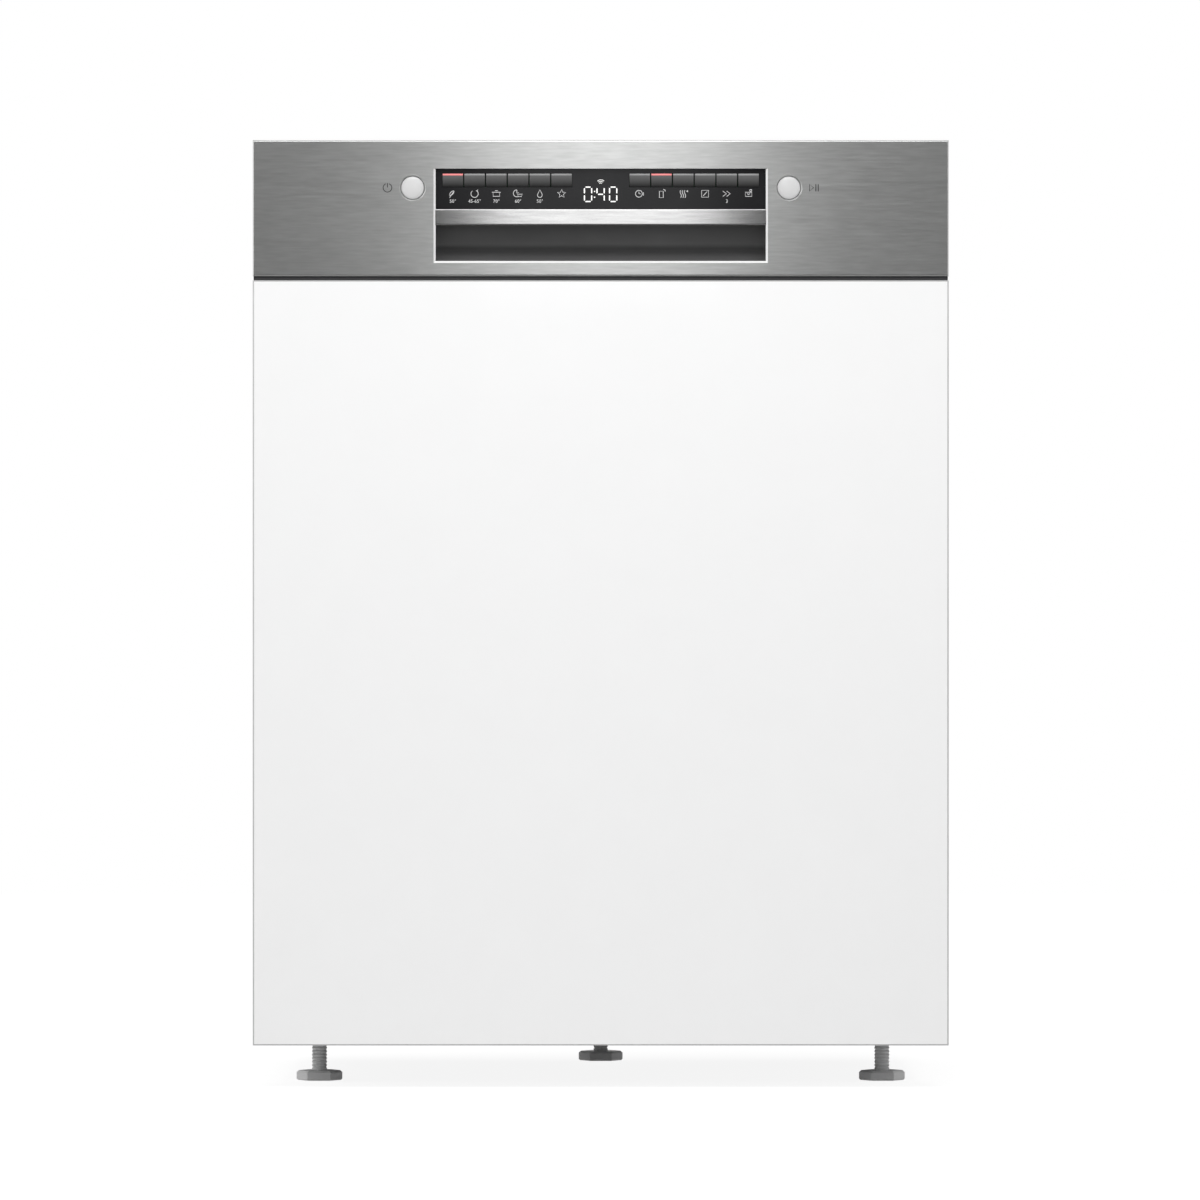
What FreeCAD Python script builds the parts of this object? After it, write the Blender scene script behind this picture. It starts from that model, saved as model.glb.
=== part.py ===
import FreeCAD, Part
import math
import os
import re
import Sketcher
from FreeCAD import Vector

# A semi-integrated dishwasher of the 60 cm class: a steel control fascia over a furniture panel, a door that
# drops forward on two hinges, a stainless tub with two wire racks and two spray arms, and a plastic base on
# three adjustable feet. Millimetres. X runs to the right, Y to the back and Z up. The origin lies on the
# floor, under the centre of the machine.

SIZES = [
    # the whole machine
    ("width", 598, "over the fascia and the furniture panel"),
    ("height", 815, "floor to the top of the fascia, feet screwed in"),
    ("depth", 573, "front of the fascia to the back of the rear panel"),
    # door
    ("fascia_height", 117, "visible height of the control fascia"),
    ("fascia_sheet", 1, "steel of the fascia"),
    ("fascia_bend", 0.5, "inner radius of the fascia's folds"),
    ("shadow_gap", 3.5, "dark gap between the fascia and the furniture panel"),
    ("panel_thickness", 20, "furniture panel"),
    ("panel_ease", 1.2, "eased front edges of the furniture panel"),
    ("toe_height", 37, "floor to the bottom of the furniture panel"),
    ("sheet", 0.8, "steel of the door, tub and casing"),
    ("sheet_bend", 1.2, "inner radius of the sheet's folds"),
    ("door_thickness", 36.5, "outer door sheet to the inner door's sealing face"),
    ("door_inset", 1, "side of the fascia to the side of the door"),
    ("door_drop", 2, "top of the fascia to the top of the door sheets"),
    ("skin_flange", 30, "depth of the outer sheet's folded sides"),
    ("skin_overhang", 44, "how far the outer sheet runs below the hinge axis"),
    ("liner_depth", 29, "depth of the inner door pan"),
    ("field_rise", 6, "pressed field of the inner door, into the tub"),
    ("field_gap", 8, "pressed field to the walls of the tub"),
    ("field_round", 24, "corners of the pressed field"),
    # fascia window, keys and buttons
    ("window_width", 284, "opening in the fascia"),
    ("window_height", 79.5, "opening in the fascia"),
    ("window_drop", 24.5, "top of the fascia to the top of the opening"),
    ("window_bevel", 1.6, "bright bevel round the opening"),
    ("lip_wall", 1.4, "steel lip behind the opening's edge"),
    ("display_height", 34.3, "glossy strip that holds the keys"),
    ("display_recess", 4, "face of the glossy strip behind the fascia's face"),
    ("display_thickness", 3.5, "glossy strip"),
    ("readout_height", 22, "module of the digital readout"),
    ("trim_gap", 0.3, "clearance round the strip and over the bar"),
    ("bar_height", 14, "bright grip bar"),
    ("bar_recess", 0.9, "face of the grip bar behind the fascia's face"),
    ("bar_depth", 15.6, "grip bar, front to back"),
    ("bar_round", 1.2, "edges of the grip bar"),
    ("grip_wall", 2, "wall of the moulded grip pocket"),
    ("grip_depth", 43, "face of the fascia to the back of the grip pocket"),
    ("grip_rise", 4, "how far the grip pocket reaches above the bar"),
    ("grip_round", 15, "curve of the grip pocket's floor"),
    ("key_height", 11.2, "programme key"),
    ("key_gap", 1.1, "between neighbouring keys"),
    ("key_margin", 6.1, "side of the opening to the nearest key"),
    ("key_start", 24.8, "centre line to the nearest key"),
    ("key_drop", 4.4, "top of the opening to the top of the keys"),
    ("key_lamp", 1.4, "height of the lit edge on a key"),
    ("key_proud", 1.7, "lit edge in front of the glossy strip"),
    ("key_travel", 1.2, "programme key stroke"),
    ("key_clearance", 0.3, "round each row of keys"),
    ("key_guide", 1.2, "wall of the guides behind the glossy strip"),
    ("button_radius", 9.9, "round power and start buttons"),
    ("button_crown", 1.4, "bevel of the button's crown"),
    ("button_gap", 19.7, "side of the opening to the button's centre"),
    ("button_drop", 41, "top of the fascia to the button's centre"),
    ("button_travel", 2, "round button stroke"),
    ("button_clearance", 0.4, "round each button"),
    ("button_bevel", 1.2, "bevelled steel ring round a button"),
    ("button_tube", 6, "depth of the guide behind the fascia"),
    ("switch_setback", 16.5, "face of the fascia to the faces of the switches"),
    ("switch_height", 2, "switch on the control board"),
    ("switch_gap", 0.2, "pressed key to its switch"),
    ("board_thickness", 1.6, "control board"),
    ("housing_inset", 14, "side of the fascia to the side of the control housing"),
    ("housing_lap", 4, "flange of the control housing on the outer sheet"),
    ("housing_wall", 2, "control housing"),
    ("post_half", 3, "half the width of the posts that carry the control board"),
    # latch
    ("latch_drop", 15.5, "top of the machine to the latch tongue"),
    ("latch_depth", 27, "latch case inside the door"),
    ("latch_width", 60, "latch case"),
    ("latch_height", 12, "latch case"),
    ("tongue_width", 20, "latch tongue"),
    ("tongue_thickness", 3, "latch tongue"),
    ("tongue_reach", 28, "how far the tongue reaches forward of the tub"),
    ("tongue_play", 2.5, "latch slot round the tongue"),
    # tub
    ("seal_gap", 8, "inner door to the tub's front flange"),
    ("seal_clearance", 0.3, "seal to the closed inner door"),
    ("seal_width", 8, "rubber profile"),
    ("tub_inset", 23, "side of the fascia to the side of the tub"),
    ("tub_back_gap", 36.5, "back wall of the tub to the back of the machine"),
    ("tub_drop", 35, "top of the fascia to the top of the tub"),
    ("ledge_height", 134, "floor to the ledges that the rack wheels roll on"),
    ("sink_depth", 16, "how far the tub's floor is sunk between the ledges"),
    ("ledge_width", 51, "ledges beside the sunk floor"),
    ("tub_round", 30, "upper corners of the tub"),
    ("ledge_round", 6, "corners of the ledges"),
    ("flange_width", 10, "tub flange beside the opening"),
    ("flange_rise", 26, "tub flange above the opening"),
    ("sill_depth", 10, "tub flange below the opening"),
    # casing and base
    ("casing_inset", 2, "side of the fascia to the side of the casing"),
    ("casing_fold", 12, "depth of the rear panel"),
    ("emboss", 3, "pressed fields of the casing"),
    ("emboss_margin", 44, "edge of a casing panel to its pressed field"),
    ("mat_thickness", 9, "felt on the tub"),
    ("frame_width", 24, "top frame"),
    ("frame_height", 6, "top frame"),
    ("base_setback", 42, "tub front to the base front"),
    ("base_bottom", 32, "floor to the underside of the base"),
    ("base_wall", 3, "base tray"),
    ("kick_height", 76, "kick plate"),
    ("kick_sheet", 1.2, "kick plate"),
    ("foot_radius", 20, "foot pad"),
    ("foot_pad", 9, "height of the foot pad"),
    ("foot_stem", 7, "middle to the corners of the foot's twelve-sided spindle"),
    ("foot_clearance", 0.3, "spindle in its boss"),
    ("foot_inset", 40, "foot centre from the sides of the base"),
    ("boss_height", 66, "bosses that the feet screw into"),
    ("boss_wall", 6, "bosses that the feet screw into"),
    ("screw_radius", 2.5, "fixing holes for the worktop"),
    ("screw_spacing", 400, "from fixing hole to fixing hole"),
    # hinge
    ("pivot_height", 96, "floor to the hinge axis"),
    ("pivot_setback", 16.5, "outer door sheet to the hinge axis"),
    ("pin_radius", 4, "hinge pin"),
    ("pin_clearance", 0.08, "hinge pin in the door arm"),
    ("hinge_plate", 2.5, "steel of the hinge plates"),
    ("hinge_gap", 0.5, "hinge plate to door arm"),
    ("hinge_nose", 12, "reach of the hinge plates round the pin"),
    ("hinge_arm", 190, "length of the door arms"),
    ("spring_radius", 9, "door balance springs"),
    ("spring_length", 150, "door balance springs"),
    # water parts
    ("sump_reach", 98, "middle to the sides of the bowl under the tub"),
    ("sump_depth", 58, "bowl under the tub"),
    ("sump_offset", 25, "spray arm axis to the middle of the bowl"),
    ("sump_wall", 3, "bowl"),
    ("strainer_reach", 112, "middle to the edge of the fine strainer plate"),
    ("filter_radius", 32, "filter cylinder"),
    ("filter_offset", 74, "spray arm axis to the filter cylinder"),
    ("filter_clearance", 0.6, "round the filter cylinder"),
    ("riser_radius", 15, "pipe that the lower spray arm turns on"),
    ("nipple_radius", 10, "bearing of a spray arm"),
    ("arm_clearance", 0.4, "spray arm on its bearing"),
    ("lower_arm_gap", 24, "tip of the turning lower arm to the tub's back"),
    ("upper_arm_gap", 46, "tip of the turning upper arm to the tub's back"),
    ("arm_thickness", 13, "spray arm"),
    ("arm_width", 46, "spray arm at its hub"),
    ("arm_tip", 26, "spray arm at its tip"),
    ("lower_arm_lift", 23, "tub floor to the underside of the lower arm"),
    ("nozzle", 1.5, "half the width of a spray slot"),
    ("duct_depth", 14, "flat water duct"),
    ("duct_width", 32, "flat water duct"),
    ("cap_radius", 26, "salt container cap"),
    ("salt_x", 150, "centre line to the salt container neck"),
    ("salt_y", 98, "tub front to the salt container neck"),
    ("pump_radius", 31, "circulation pump"),
    ("pump_length", 104, "circulation pump"),
    ("spigot_radius", 10, "drain spigot"),
    ("inlet_radius", 13, "water inlet thread"),
    ("spigot_reach", 30, "how far the connections stand out of the base"),
    # racks
    ("wire", 4, "rack wire across its flats"),
    ("rack_gap", 25, "tub front to the racks"),
    ("rack_back_gap", 20, "racks to the tub's back"),
    ("lower_rack_side", 21, "tub side to the lower rack"),
    ("upper_rack_side", 28, "tub side to the upper rack"),
    ("wheel_radius", 18, "lower rack wheel"),
    ("wheel_width", 9, "rack wheels"),
    ("lower_rack_lift", 40, "ledges to the lower rack's floor wires"),
    ("lower_rack_height", 214, "lower rack, floor to rim"),
    ("upper_rack_lift", 92, "lower rack's rim to the upper rack's floor wires"),
    ("upper_rack_height", 130, "upper rack, floor to rim"),
    ("wire_bend", 16, "cut corner of a bent wire"),
    ("tine_height", 76, "plate tines"),
    ("shelf_width", 86, "fold-down cup shelf"),
    ("basket_width", 92, "cutlery basket"),
    ("basket_length", 236, "cutlery basket"),
    ("basket_height", 118, "cutlery basket"),
    ("basket_wall", 2.4, "cutlery basket"),
    ("rail_height", 26, "upper rack rail"),
    ("rail_depth", 13, "upper rack rail"),
    ("rail_wall", 1.5, "upper rack rail"),
    # detergent dispenser
    ("dispenser_width", 178, "on the inner door"),
    ("dispenser_height", 146, "on the inner door"),
    ("dispenser_lift", 282, "bottom of the inner door to the dispenser"),
    ("dispenser_proud", 10, "dispenser in front of the pressed field"),
    ("dispenser_body", 22, "dispenser behind the pressed field"),
    ("dispenser_lap", 6, "dispenser's edge on the inner door"),
    ("lid_width", 84, "sliding detergent lid"),
    ("lid_height", 72, "sliding detergent lid"),
    ("lid_thickness", 3, "dispenser lids"),
    ("lid_travel", 54, "how far the detergent lid slides"),
    ("lid_clearance", 0.15, "round the dispenser's lids"),
    ("flap_width", 46, "rinse aid flap"),
    ("flap_height", 34, "rinse aid flap"),
]

ALIASES = {alias for alias, _, _ in SIZES}

doc = FreeCAD.newDocument("dishwasher")
sizes = doc.addObject("Spreadsheet::Sheet", "sizes")
for row, (alias, number, meaning) in enumerate(SIZES, 1):
    sizes.set(f"A{row}", meaning)
    sizes.set(f"B{row}", str(number))
    sizes.setAlias(f"B{row}", alias)
doc.recompute()

# Places that several pieces share, as expressions in the sheet's cells.
FRONT = "(-depth / 2)"
BACK = "(depth / 2)"
SIDE = "(width / 2)"
TOP = "height"
FASCIA_LOW = "(height - fascia_height)"
FASCIA_IN = f"({FRONT} + fascia_sheet)"
SKIN = f"({FRONT} + panel_thickness)"
SKIN_IN = f"({SKIN} + sheet)"
SKIN_SIDE = f"({SIDE} - door_inset)"
SKIN_TOP = "(height - door_drop)"
LINER = f"({SKIN} + door_thickness)"
LINER_IN = f"({LINER} - sheet)"
LINER_SIDE = f"({SKIN_SIDE} - sheet)"
LINER_TOP = f"({SKIN_TOP} - sheet)"
LINER_LOW = "(pivot_height + hinge_nose + seal_gap / 4)"
FIELD = f"({LINER} + field_rise)"
PIVOT_Y = f"({SKIN} + pivot_setback)"
PIVOT_Z = "pivot_height"

ROW_COUNT = 6
WINDOW_SIDE = "(window_width / 2)"
WINDOW_TOP = "(height - window_drop)"
WINDOW_LOW = f"({WINDOW_TOP} - window_height)"
DISPLAY = f"({FRONT} + display_recess)"
DISPLAY_BACK = f"({DISPLAY} + display_thickness)"
DISPLAY_LOW = f"({WINDOW_TOP} - display_height)"
BAR_TOP = f"({DISPLAY_LOW} - trim_gap)"
BAR_FRONT = f"({FRONT} + bar_recess)"
POCKET_BACK = f"({FRONT} + grip_depth)"
POCKET_TOP = f"({DISPLAY_LOW} + grip_rise + grip_wall)"
KEY_TOP = f"({WINDOW_TOP} - key_drop)"
KEY_LOW = f"({KEY_TOP} - key_height)"
KEY_END = f"({WINDOW_SIDE} - key_margin)"
KEY_PITCH = f"(({KEY_END} + key_gap - key_start) / {ROW_COUNT})"
KEY_WIDTH = f"({KEY_PITCH} - key_gap)"
BUTTON_X = f"({WINDOW_SIDE} + button_gap)"
BUTTON_Z = "(height - button_drop)"
SWITCH = f"({FRONT} + switch_setback)"
BOARD = f"({SWITCH} + switch_height)"
BOARD_BACK = f"({BOARD} + board_thickness)"
HOUSING_SIDE = f"({SIDE} - housing_inset)"
HOUSING_LOW = f"({WINDOW_LOW} - grip_wall - housing_wall - trim_gap)"
HOUSING_TOP = f"({WINDOW_TOP} + housing_wall)"
HOUSING_BACK = f"({POCKET_BACK} + housing_wall)"

TONGUE_Z = "(height - latch_drop)"
TUB_FRONT = f"({LINER} + seal_gap)"
TUB_BACK = f"({BACK} - tub_back_gap)"
TUB_SIDE = f"({SIDE} - tub_inset)"
TUB_TOP = "(height - tub_drop)"
LEDGE = "ledge_height"
TUB_FLOOR = f"({LEDGE} - sink_depth)"
SINK_SIDE = f"({TUB_SIDE} - ledge_width)"
FLANGE_SIDE = f"({TUB_SIDE} + flange_width)"
FLANGE_TOP = f"({TUB_TOP} + flange_rise)"
WALL_IN = f"({TUB_SIDE} - sheet)"
FLOOR_IN = f"({TUB_FLOOR} + sheet)"
BACK_IN = f"({TUB_BACK} - sheet)"
CEILING_IN = f"({TUB_TOP} - sheet)"
FIELD_SIDE = f"({TUB_SIDE} - field_gap)"
FIELD_TOP = f"({TUB_TOP} - field_gap)"
FIELD_LOW = f"({TUB_FLOOR} + field_gap)"

CASING_SIDE = f"({SIDE} - casing_inset)"
CASING_BACK = f"({BACK} - casing_fold)"
BASE_FRONT = f"({TUB_FRONT} + base_setback)"
BASE_TOP = TUB_FLOOR
PLATE_OUT = f"({FLANGE_SIDE} + hinge_plate)"
ARM_OUT = f"({FLANGE_SIDE} - hinge_gap)"
ARM_IN = f"({ARM_OUT} - hinge_plate)"
FOOT_X = f"({FLANGE_SIDE} - foot_inset)"
FRONT_FOOT_Y = f"({BASE_FRONT} + foot_inset)"
REAR_FOOT_Y = f"({TUB_BACK} - foot_inset)"

SPRING_X = f"({FLANGE_SIDE} - base_wall - spring_radius - hinge_gap)"
SPRING_Z = "(base_bottom + base_wall + spring_radius * 2.5)"
SPRING_START = f"({BASE_FRONT} + base_wall + spring_radius * 2)"
SPRING_END = f"({SPRING_START} + spring_length + spring_radius * 2)"

AXIS_Y = f"(({TUB_FRONT} + {TUB_BACK}) / 2)"
SUMP_Y = f"({AXIS_Y} - sump_offset)"
FILTER_Y = f"({AXIS_Y} - filter_offset)"
SALT_Y = f"({TUB_FRONT} + salt_y)"
STRAINER_TOP = f"({FLOOR_IN} + sheet)"
LOWER_ARM = f"({FLOOR_IN} + lower_arm_lift)"
LOWER_REACH = f"({TUB_BACK} - {AXIS_Y} - lower_arm_gap)"
UPPER_REACH = f"({TUB_BACK} - {AXIS_Y} - upper_arm_gap)"
LOWER_FLOOR = f"({LEDGE} + lower_rack_lift)"
LOWER_RIM = f"({LOWER_FLOOR} + lower_rack_height)"
UPPER_FLOOR = f"({LOWER_RIM} + upper_rack_lift)"
UPPER_RIM = f"({UPPER_FLOOR} + upper_rack_height)"
DUCT_TOP = UPPER_FLOOR
DUCT_LOW = f"({DUCT_TOP} - duct_depth)"
DUCT_FRONT = f"({BACK_IN} - duct_depth)"
UPPER_ARM = f"({DUCT_LOW} - arm_thickness - riser_radius / 3)"
RACK_FRONT = f"({TUB_FRONT} + rack_gap)"
RACK_BACK = f"({BACK_IN} - rack_back_gap)"
LOWER_RACK_SIDE = f"({WALL_IN} - lower_rack_side)"
UPPER_RACK_SIDE = f"({WALL_IN} - upper_rack_side)"

DISPENSER_LOW = f"({LINER_LOW} + dispenser_lift)"
DISPENSER_TOP = f"({DISPENSER_LOW} + dispenser_height)"
DISPENSER_SIDE = "(dispenser_width / 2)"
LID_FACE = f"({FIELD} + dispenser_proud)"

TINY = 1e-3


def bound(text):
    """An expression in which each size's name stands for its cell in the sheet."""
    return re.sub(r"[a-z_]+", lambda word: f"sizes.{word[0]}" if word[0] in ALIASES else word[0], str(text))


def value(text):
    """The number that an expression gives now."""
    return float(sizes.evalExpression(bound(text)))


# Outlines: each returns a function that draws closed geometry in a sketch and ties it to the sheet.
def drive(sketch, constraint, expression):
    """Adds a driving constraint and ties it to an expression."""
    number = sketch.addConstraint(constraint)
    sketch.setExpression(f"Constraints[{number}]", bound(expression))


def place_point(sketch, geometry, point, x, y):
    """Holds one point of a sketch at x, y."""
    drive(sketch, Sketcher.Constraint("DistanceX", -1, 1, geometry, point, value(x)), x)
    drive(sketch, Sketcher.Constraint("DistanceY", -1, 1, geometry, point, value(y)), y)


def polygon(*points):
    """A closed outline through points given as pairs of expressions."""

    def draw(sketch):
        first = sketch.GeometryCount
        spots = [Vector(value(x), value(y), 0) for x, y in points]
        for start, end in zip(spots, spots[1:] + spots[:1]):
            sketch.addGeometry(Part.LineSegment(start, end), False)
        for index, (x, y) in enumerate(points):
            following = first + (index + 1) % len(spots)
            sketch.addConstraint(Sketcher.Constraint("Coincident", first + index, 2, following, 1))
            place_point(sketch, first + index, 1, x, y)

    return draw


def rectangle(x_low, x_high, y_low, y_high):
    return polygon((x_low, y_low), (x_high, y_low), (x_high, y_high), (x_low, y_high))


def cut_corners(x_low, x_high, y_low, y_high, cut):
    """A rectangle with its four corners cut off at 45 degrees."""
    return polygon(
        (f"{x_low} + {cut}", y_low),
        (f"{x_high} - {cut}", y_low),
        (x_high, f"{y_low} + {cut}"),
        (x_high, f"{y_high} - {cut}"),
        (f"{x_high} - {cut}", y_high),
        (f"{x_low} + {cut}", y_high),
        (x_low, f"{y_high} - {cut}"),
        (x_low, f"{y_low} + {cut}"),
    )


def circle(x, y, radius):
    def draw(sketch):
        ring = Part.Circle(Vector(value(x), value(y), 0), Vector(0, 0, 1), value(radius))
        number = sketch.addGeometry(ring, False)
        place_point(sketch, number, 3, x, y)
        drive(sketch, Sketcher.Constraint("Radius", number, value(radius)), radius)

    return draw


def flats(x, y, radius, count):
    """A regular outline with flat sides; its corners lie on a circle."""
    turns = [360 * index / count for index in range(count)]
    return polygon(*[(f"{x} + {radius} * cos({turn})", f"{y} + {radius} * sin({turn})") for turn in turns])


def sign(number):
    return (number > 0) - (number < 0)


def soft(*corners):
    """A closed outline of runs along the axes, given as x, y and the radius that rounds each corner."""

    def draw(sketch):
        spots = [(value(x), value(y)) for x, y, _ in corners]
        arcs = []
        for index, (x, y, radius) in enumerate(corners):
            here = spots[index]
            before = spots[index - 1]
            after = spots[(index + 1) % len(spots)]
            # One neighbour lies along X and the other along Y, so their signs add up to the way inwards.
            inward_x = sign(before[0] - here[0]) + sign(after[0] - here[0])
            inward_y = sign(before[1] - here[1]) + sign(after[1] - here[1])
            r = value(radius)
            centre = Vector(here[0] + inward_x * r, here[1] + inward_y * r, 0)
            enter = math.atan2(0, -inward_x) if before[0] == here[0] else math.atan2(-inward_y, 0)
            leave = math.atan2(0, -inward_x) if after[0] == here[0] else math.atan2(-inward_y, 0)
            forward = math.sin(leave - enter) > 0
            start, end = (enter, leave) if forward else (leave, enter)
            ring = Part.Circle(centre, Vector(0, 0, 1), r)
            number = sketch.addGeometry(Part.ArcOfCircle(ring, start, end), False)
            way_x = "+" if inward_x > 0 else "-"
            way_y = "+" if inward_y > 0 else "-"
            place = (f"({x}) {way_x} ({radius})", f"({y}) {way_y} ({radius})")
            arcs.append((number, forward, place, radius, centre, enter, leave, r))
        lines = []
        for index, arc in enumerate(arcs):
            following = arcs[(index + 1) % len(arcs)]
            start = arc[4] + Vector(math.cos(arc[6]), math.sin(arc[6]), 0) * arc[7]
            end = following[4] + Vector(math.cos(following[5]), math.sin(following[5]), 0) * following[7]
            lines.append(sketch.addGeometry(Part.LineSegment(start, end), False))
        for index, (number, forward, place, radius, *_) in enumerate(arcs):
            enter_end, leave_end = (1, 2) if forward else (2, 1)
            sketch.addConstraint(Sketcher.Constraint("Tangent", lines[index - 1], 2, number, enter_end))
            sketch.addConstraint(Sketcher.Constraint("Tangent", number, leave_end, lines[index], 1))
            place_point(sketch, number, 3, *place)
            drive(sketch, Sketcher.Constraint("Radius", number, value(radius)), radius)

    return draw


def rounded(x_low, x_high, y_low, y_high, radius):
    return soft(
        (x_low, y_low, radius), (x_high, y_low, radius), (x_high, y_high, radius), (x_low, y_high, radius)
    )


# Ways to pick edges and faces by where their bounding boxes lie.
def spans(box):
    return {"x": (box.XMin, box.XMax), "y": (box.YMin, box.YMax), "z": (box.ZMin, box.ZMax)}


def flat(**planes):
    """Accepts what lies in each of the planes given as x=, y= or z=."""

    def accepts(box):
        ends = spans(box)
        return all(
            abs(end - value(place)) < TINY for axis, place in planes.items() for end in ends[axis]
        )

    return accepts


def within(**limits):
    """Accepts what lies between the limits given as x=(low, high) and so on."""

    def accepts(box):
        ends = spans(box)
        return all(
            ends[axis][0] > value(low) - TINY and ends[axis][1] < value(high) + TINY
            for axis, (low, high) in limits.items()
        )

    return accepts


def along(axis):
    """Accepts straight edges that run along an axis."""

    def accepts(box):
        return all((high - low > TINY) == (name == axis) for name, (low, high) in spans(box).items())

    return accepts


def both(*tests):
    return lambda box: all(test(box) for test in tests)


def either(*tests):
    return lambda box: any(test(box) for test in tests)


class Piece:
    """A PartDesign body built up from sketches on its own origin planes."""

    def __init__(self, label):
        self.body = doc.addObject("PartDesign::Body", label)
        self.body.Label = label
        self.body.AllowCompound = True

    def origin(self, role):
        return [feature for feature in self.body.Origin.OriginFeatures if feature.Role == role][0]

    def feature(self, kind):
        return self.body.newObject(f"PartDesign::{kind}", f"{self.body.Label}_{kind.lower()}")

    def sketch(self, plane, at, outlines):
        """A sketch in a plane at a place along its normal, holding the outlines."""
        made = self.body.newObject("Sketcher::SketchObject", f"{self.body.Label}_outline")
        made.AttachmentSupport = [(self.origin(f"{plane}_Plane"), "")]
        made.MapMode = "FlatFace"
        made.setExpression("AttachmentOffset.Base.z", bound(f"-({at})" if plane == "XZ" else at))
        for draw in outlines:
            draw(made)
        return made

    def extrude(self, kind, plane, low, high, outlines, reverse):
        profile = self.sketch(plane, low, outlines)
        before = self.body.Shape.Volume if self.body.Tip else 0
        made = self.feature(kind)
        made.Profile = profile
        made.Reversed = reverse
        made.setExpression("Length", bound(f"({high}) - ({low})"))
        doc.recompute()
        if abs(self.body.Shape.Volume - before) < TINY:
            raise ValueError(f"{made.Name} changes nothing")
        return made

    def pad(self, plane, low, high, *outlines):
        return self.extrude("Pad", plane, low, high, outlines, plane == "XZ")

    def pocket(self, plane, low, high, *outlines):
        return self.extrude("Pocket", plane, low, high, outlines, plane != "XZ")

    def spin(self, kind, plane, at, outline, start, end):
        """Turns an outline once round the line from start to end."""
        profile = self.sketch(plane, at, [outline])
        ends = [Vector(value(x), value(y), 0) for x, y in (start, end)]
        line = profile.addGeometry(Part.LineSegment(*ends), True)
        place_point(profile, line, 1, *start)
        place_point(profile, line, 2, *end)
        before = self.body.Shape.Volume if self.body.Tip else 0
        made = self.feature(kind)
        made.Profile = profile
        made.ReferenceAxis = (profile, ["Axis0"])
        made.Angle = 360
        doc.recompute()
        if abs(self.body.Shape.Volume - before) < TINY:
            raise ValueError(f"{made.Name} changes nothing")
        return made

    def dress(self, kind, size_name, size, accepts):
        base = self.body.Tip
        edges = [f"Edge{i}" for i, edge in enumerate(base.Shape.Edges, 1) if accepts(edge.BoundBox)]
        if not edges:
            raise ValueError(f"{self.body.Label}: no edge for a {kind.lower()}")
        made = self.feature(kind)
        made.Base = (base, edges)
        made.setExpression(size_name, bound(size))
        doc.recompute()
        return made

    def fillet(self, radius, accepts):
        return self.dress("Fillet", "Radius", radius, accepts)

    def chamfer(self, size, accepts):
        return self.dress("Chamfer", "Size", size, accepts)

    def shell(self, wall, accepts):
        """Hollows the body to a wall inside its faces, open at the faces accepted."""
        base = self.body.Tip
        faces = [f"Face{i}" for i, face in enumerate(base.Shape.Faces, 1) if accepts(face.BoundBox)]
        if not faces:
            raise ValueError(f"{self.body.Label}: no face to open")
        made = self.feature("Thickness")
        made.Base = (base, faces)
        made.setExpression("Value", bound(wall))
        made.Reversed = True
        made.Join = 1
        doc.recompute()
        return made

    def repeat(self, features, axis, pitch, count):
        """Copies features along an origin axis, count in all."""
        made = self.feature("LinearPattern")
        made.Originals = features
        made.Direction = (self.origin(f"{axis}_Axis"), [""])
        made.Mode = "Spacing"
        made.setExpression("Offset", bound(pitch))
        made.setExpression("Occurrences", bound(count))
        self.body.Tip = made
        doc.recompute()
        return made

    def mirror(self, features):
        """Mirrors features in the machine's middle plane."""
        made = self.feature("Mirrored")
        made.Originals = features
        made.MirrorPlane = (self.origin("YZ_Plane"), [""])
        self.body.Tip = made
        doc.recompute()
        return made


# The control fascia and what it carries
def key_row(gap="0"):
    """The outline round the right row of keys, and its mirror image on the left."""
    low = f"(key_start - {gap})"
    high = f"({KEY_END} + {gap})"
    heights = (f"{KEY_LOW} - {gap}", f"{KEY_TOP} + {gap}")
    return [rectangle(low, high, *heights), rectangle(f"-{high}", f"-{low}", *heights)]


def button_circles(radius):
    return [circle(f"{way}{BUTTON_X}", BUTTON_Z, radius) for way in ("-", "")]


def window(grow="0"):
    side = f"({WINDOW_SIDE} + {grow})"
    return rectangle(f"-{side}", side, f"{WINDOW_LOW} - {grow}", f"{WINDOW_TOP} + {grow}")


def make_fascia():
    """A shallow folded pan with a lipped window and two bevelled button guides."""
    piece = Piece("fascia")
    hole = "(button_radius + button_clearance)"
    wall = "(button_bevel + lip_wall / 2)"
    piece.pad("XZ", FRONT, SKIN, rectangle(f"-{SIDE}", SIDE, FASCIA_LOW, TOP))
    piece.shell("fascia_sheet", flat(y=SKIN))
    piece.fillet("fascia_sheet + fascia_bend", flat(y=FRONT))
    piece.pocket("XZ", FRONT, FASCIA_IN, window(), *button_circles(hole))
    piece.pad("XZ", FASCIA_IN, DISPLAY_BACK, window(), window("lip_wall"))
    guides = [flats(f"{way}{BUTTON_X}", BUTTON_Z, f"({hole} + {wall})", 12) for way in ("-", "")]
    piece.pad("XZ", FASCIA_IN, f"{FASCIA_IN} + button_tube", *button_circles(hole), *guides)
    rim = both(flat(y=FRONT), within(x=(f"-{WINDOW_SIDE}", WINDOW_SIDE), z=(WINDOW_LOW, WINDOW_TOP)))
    upper = flat(z=WINDOW_TOP)
    piece.chamfer("window_bevel", lambda box: rim(box) and not upper(box))
    ring = [
        both(flat(y=FRONT), within(x=(f"{way}{BUTTON_X} - {hole}", f"{way}{BUTTON_X} + {hole}")))
        for way in ("-", "")
    ]
    piece.chamfer("button_bevel", either(*ring))


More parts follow.
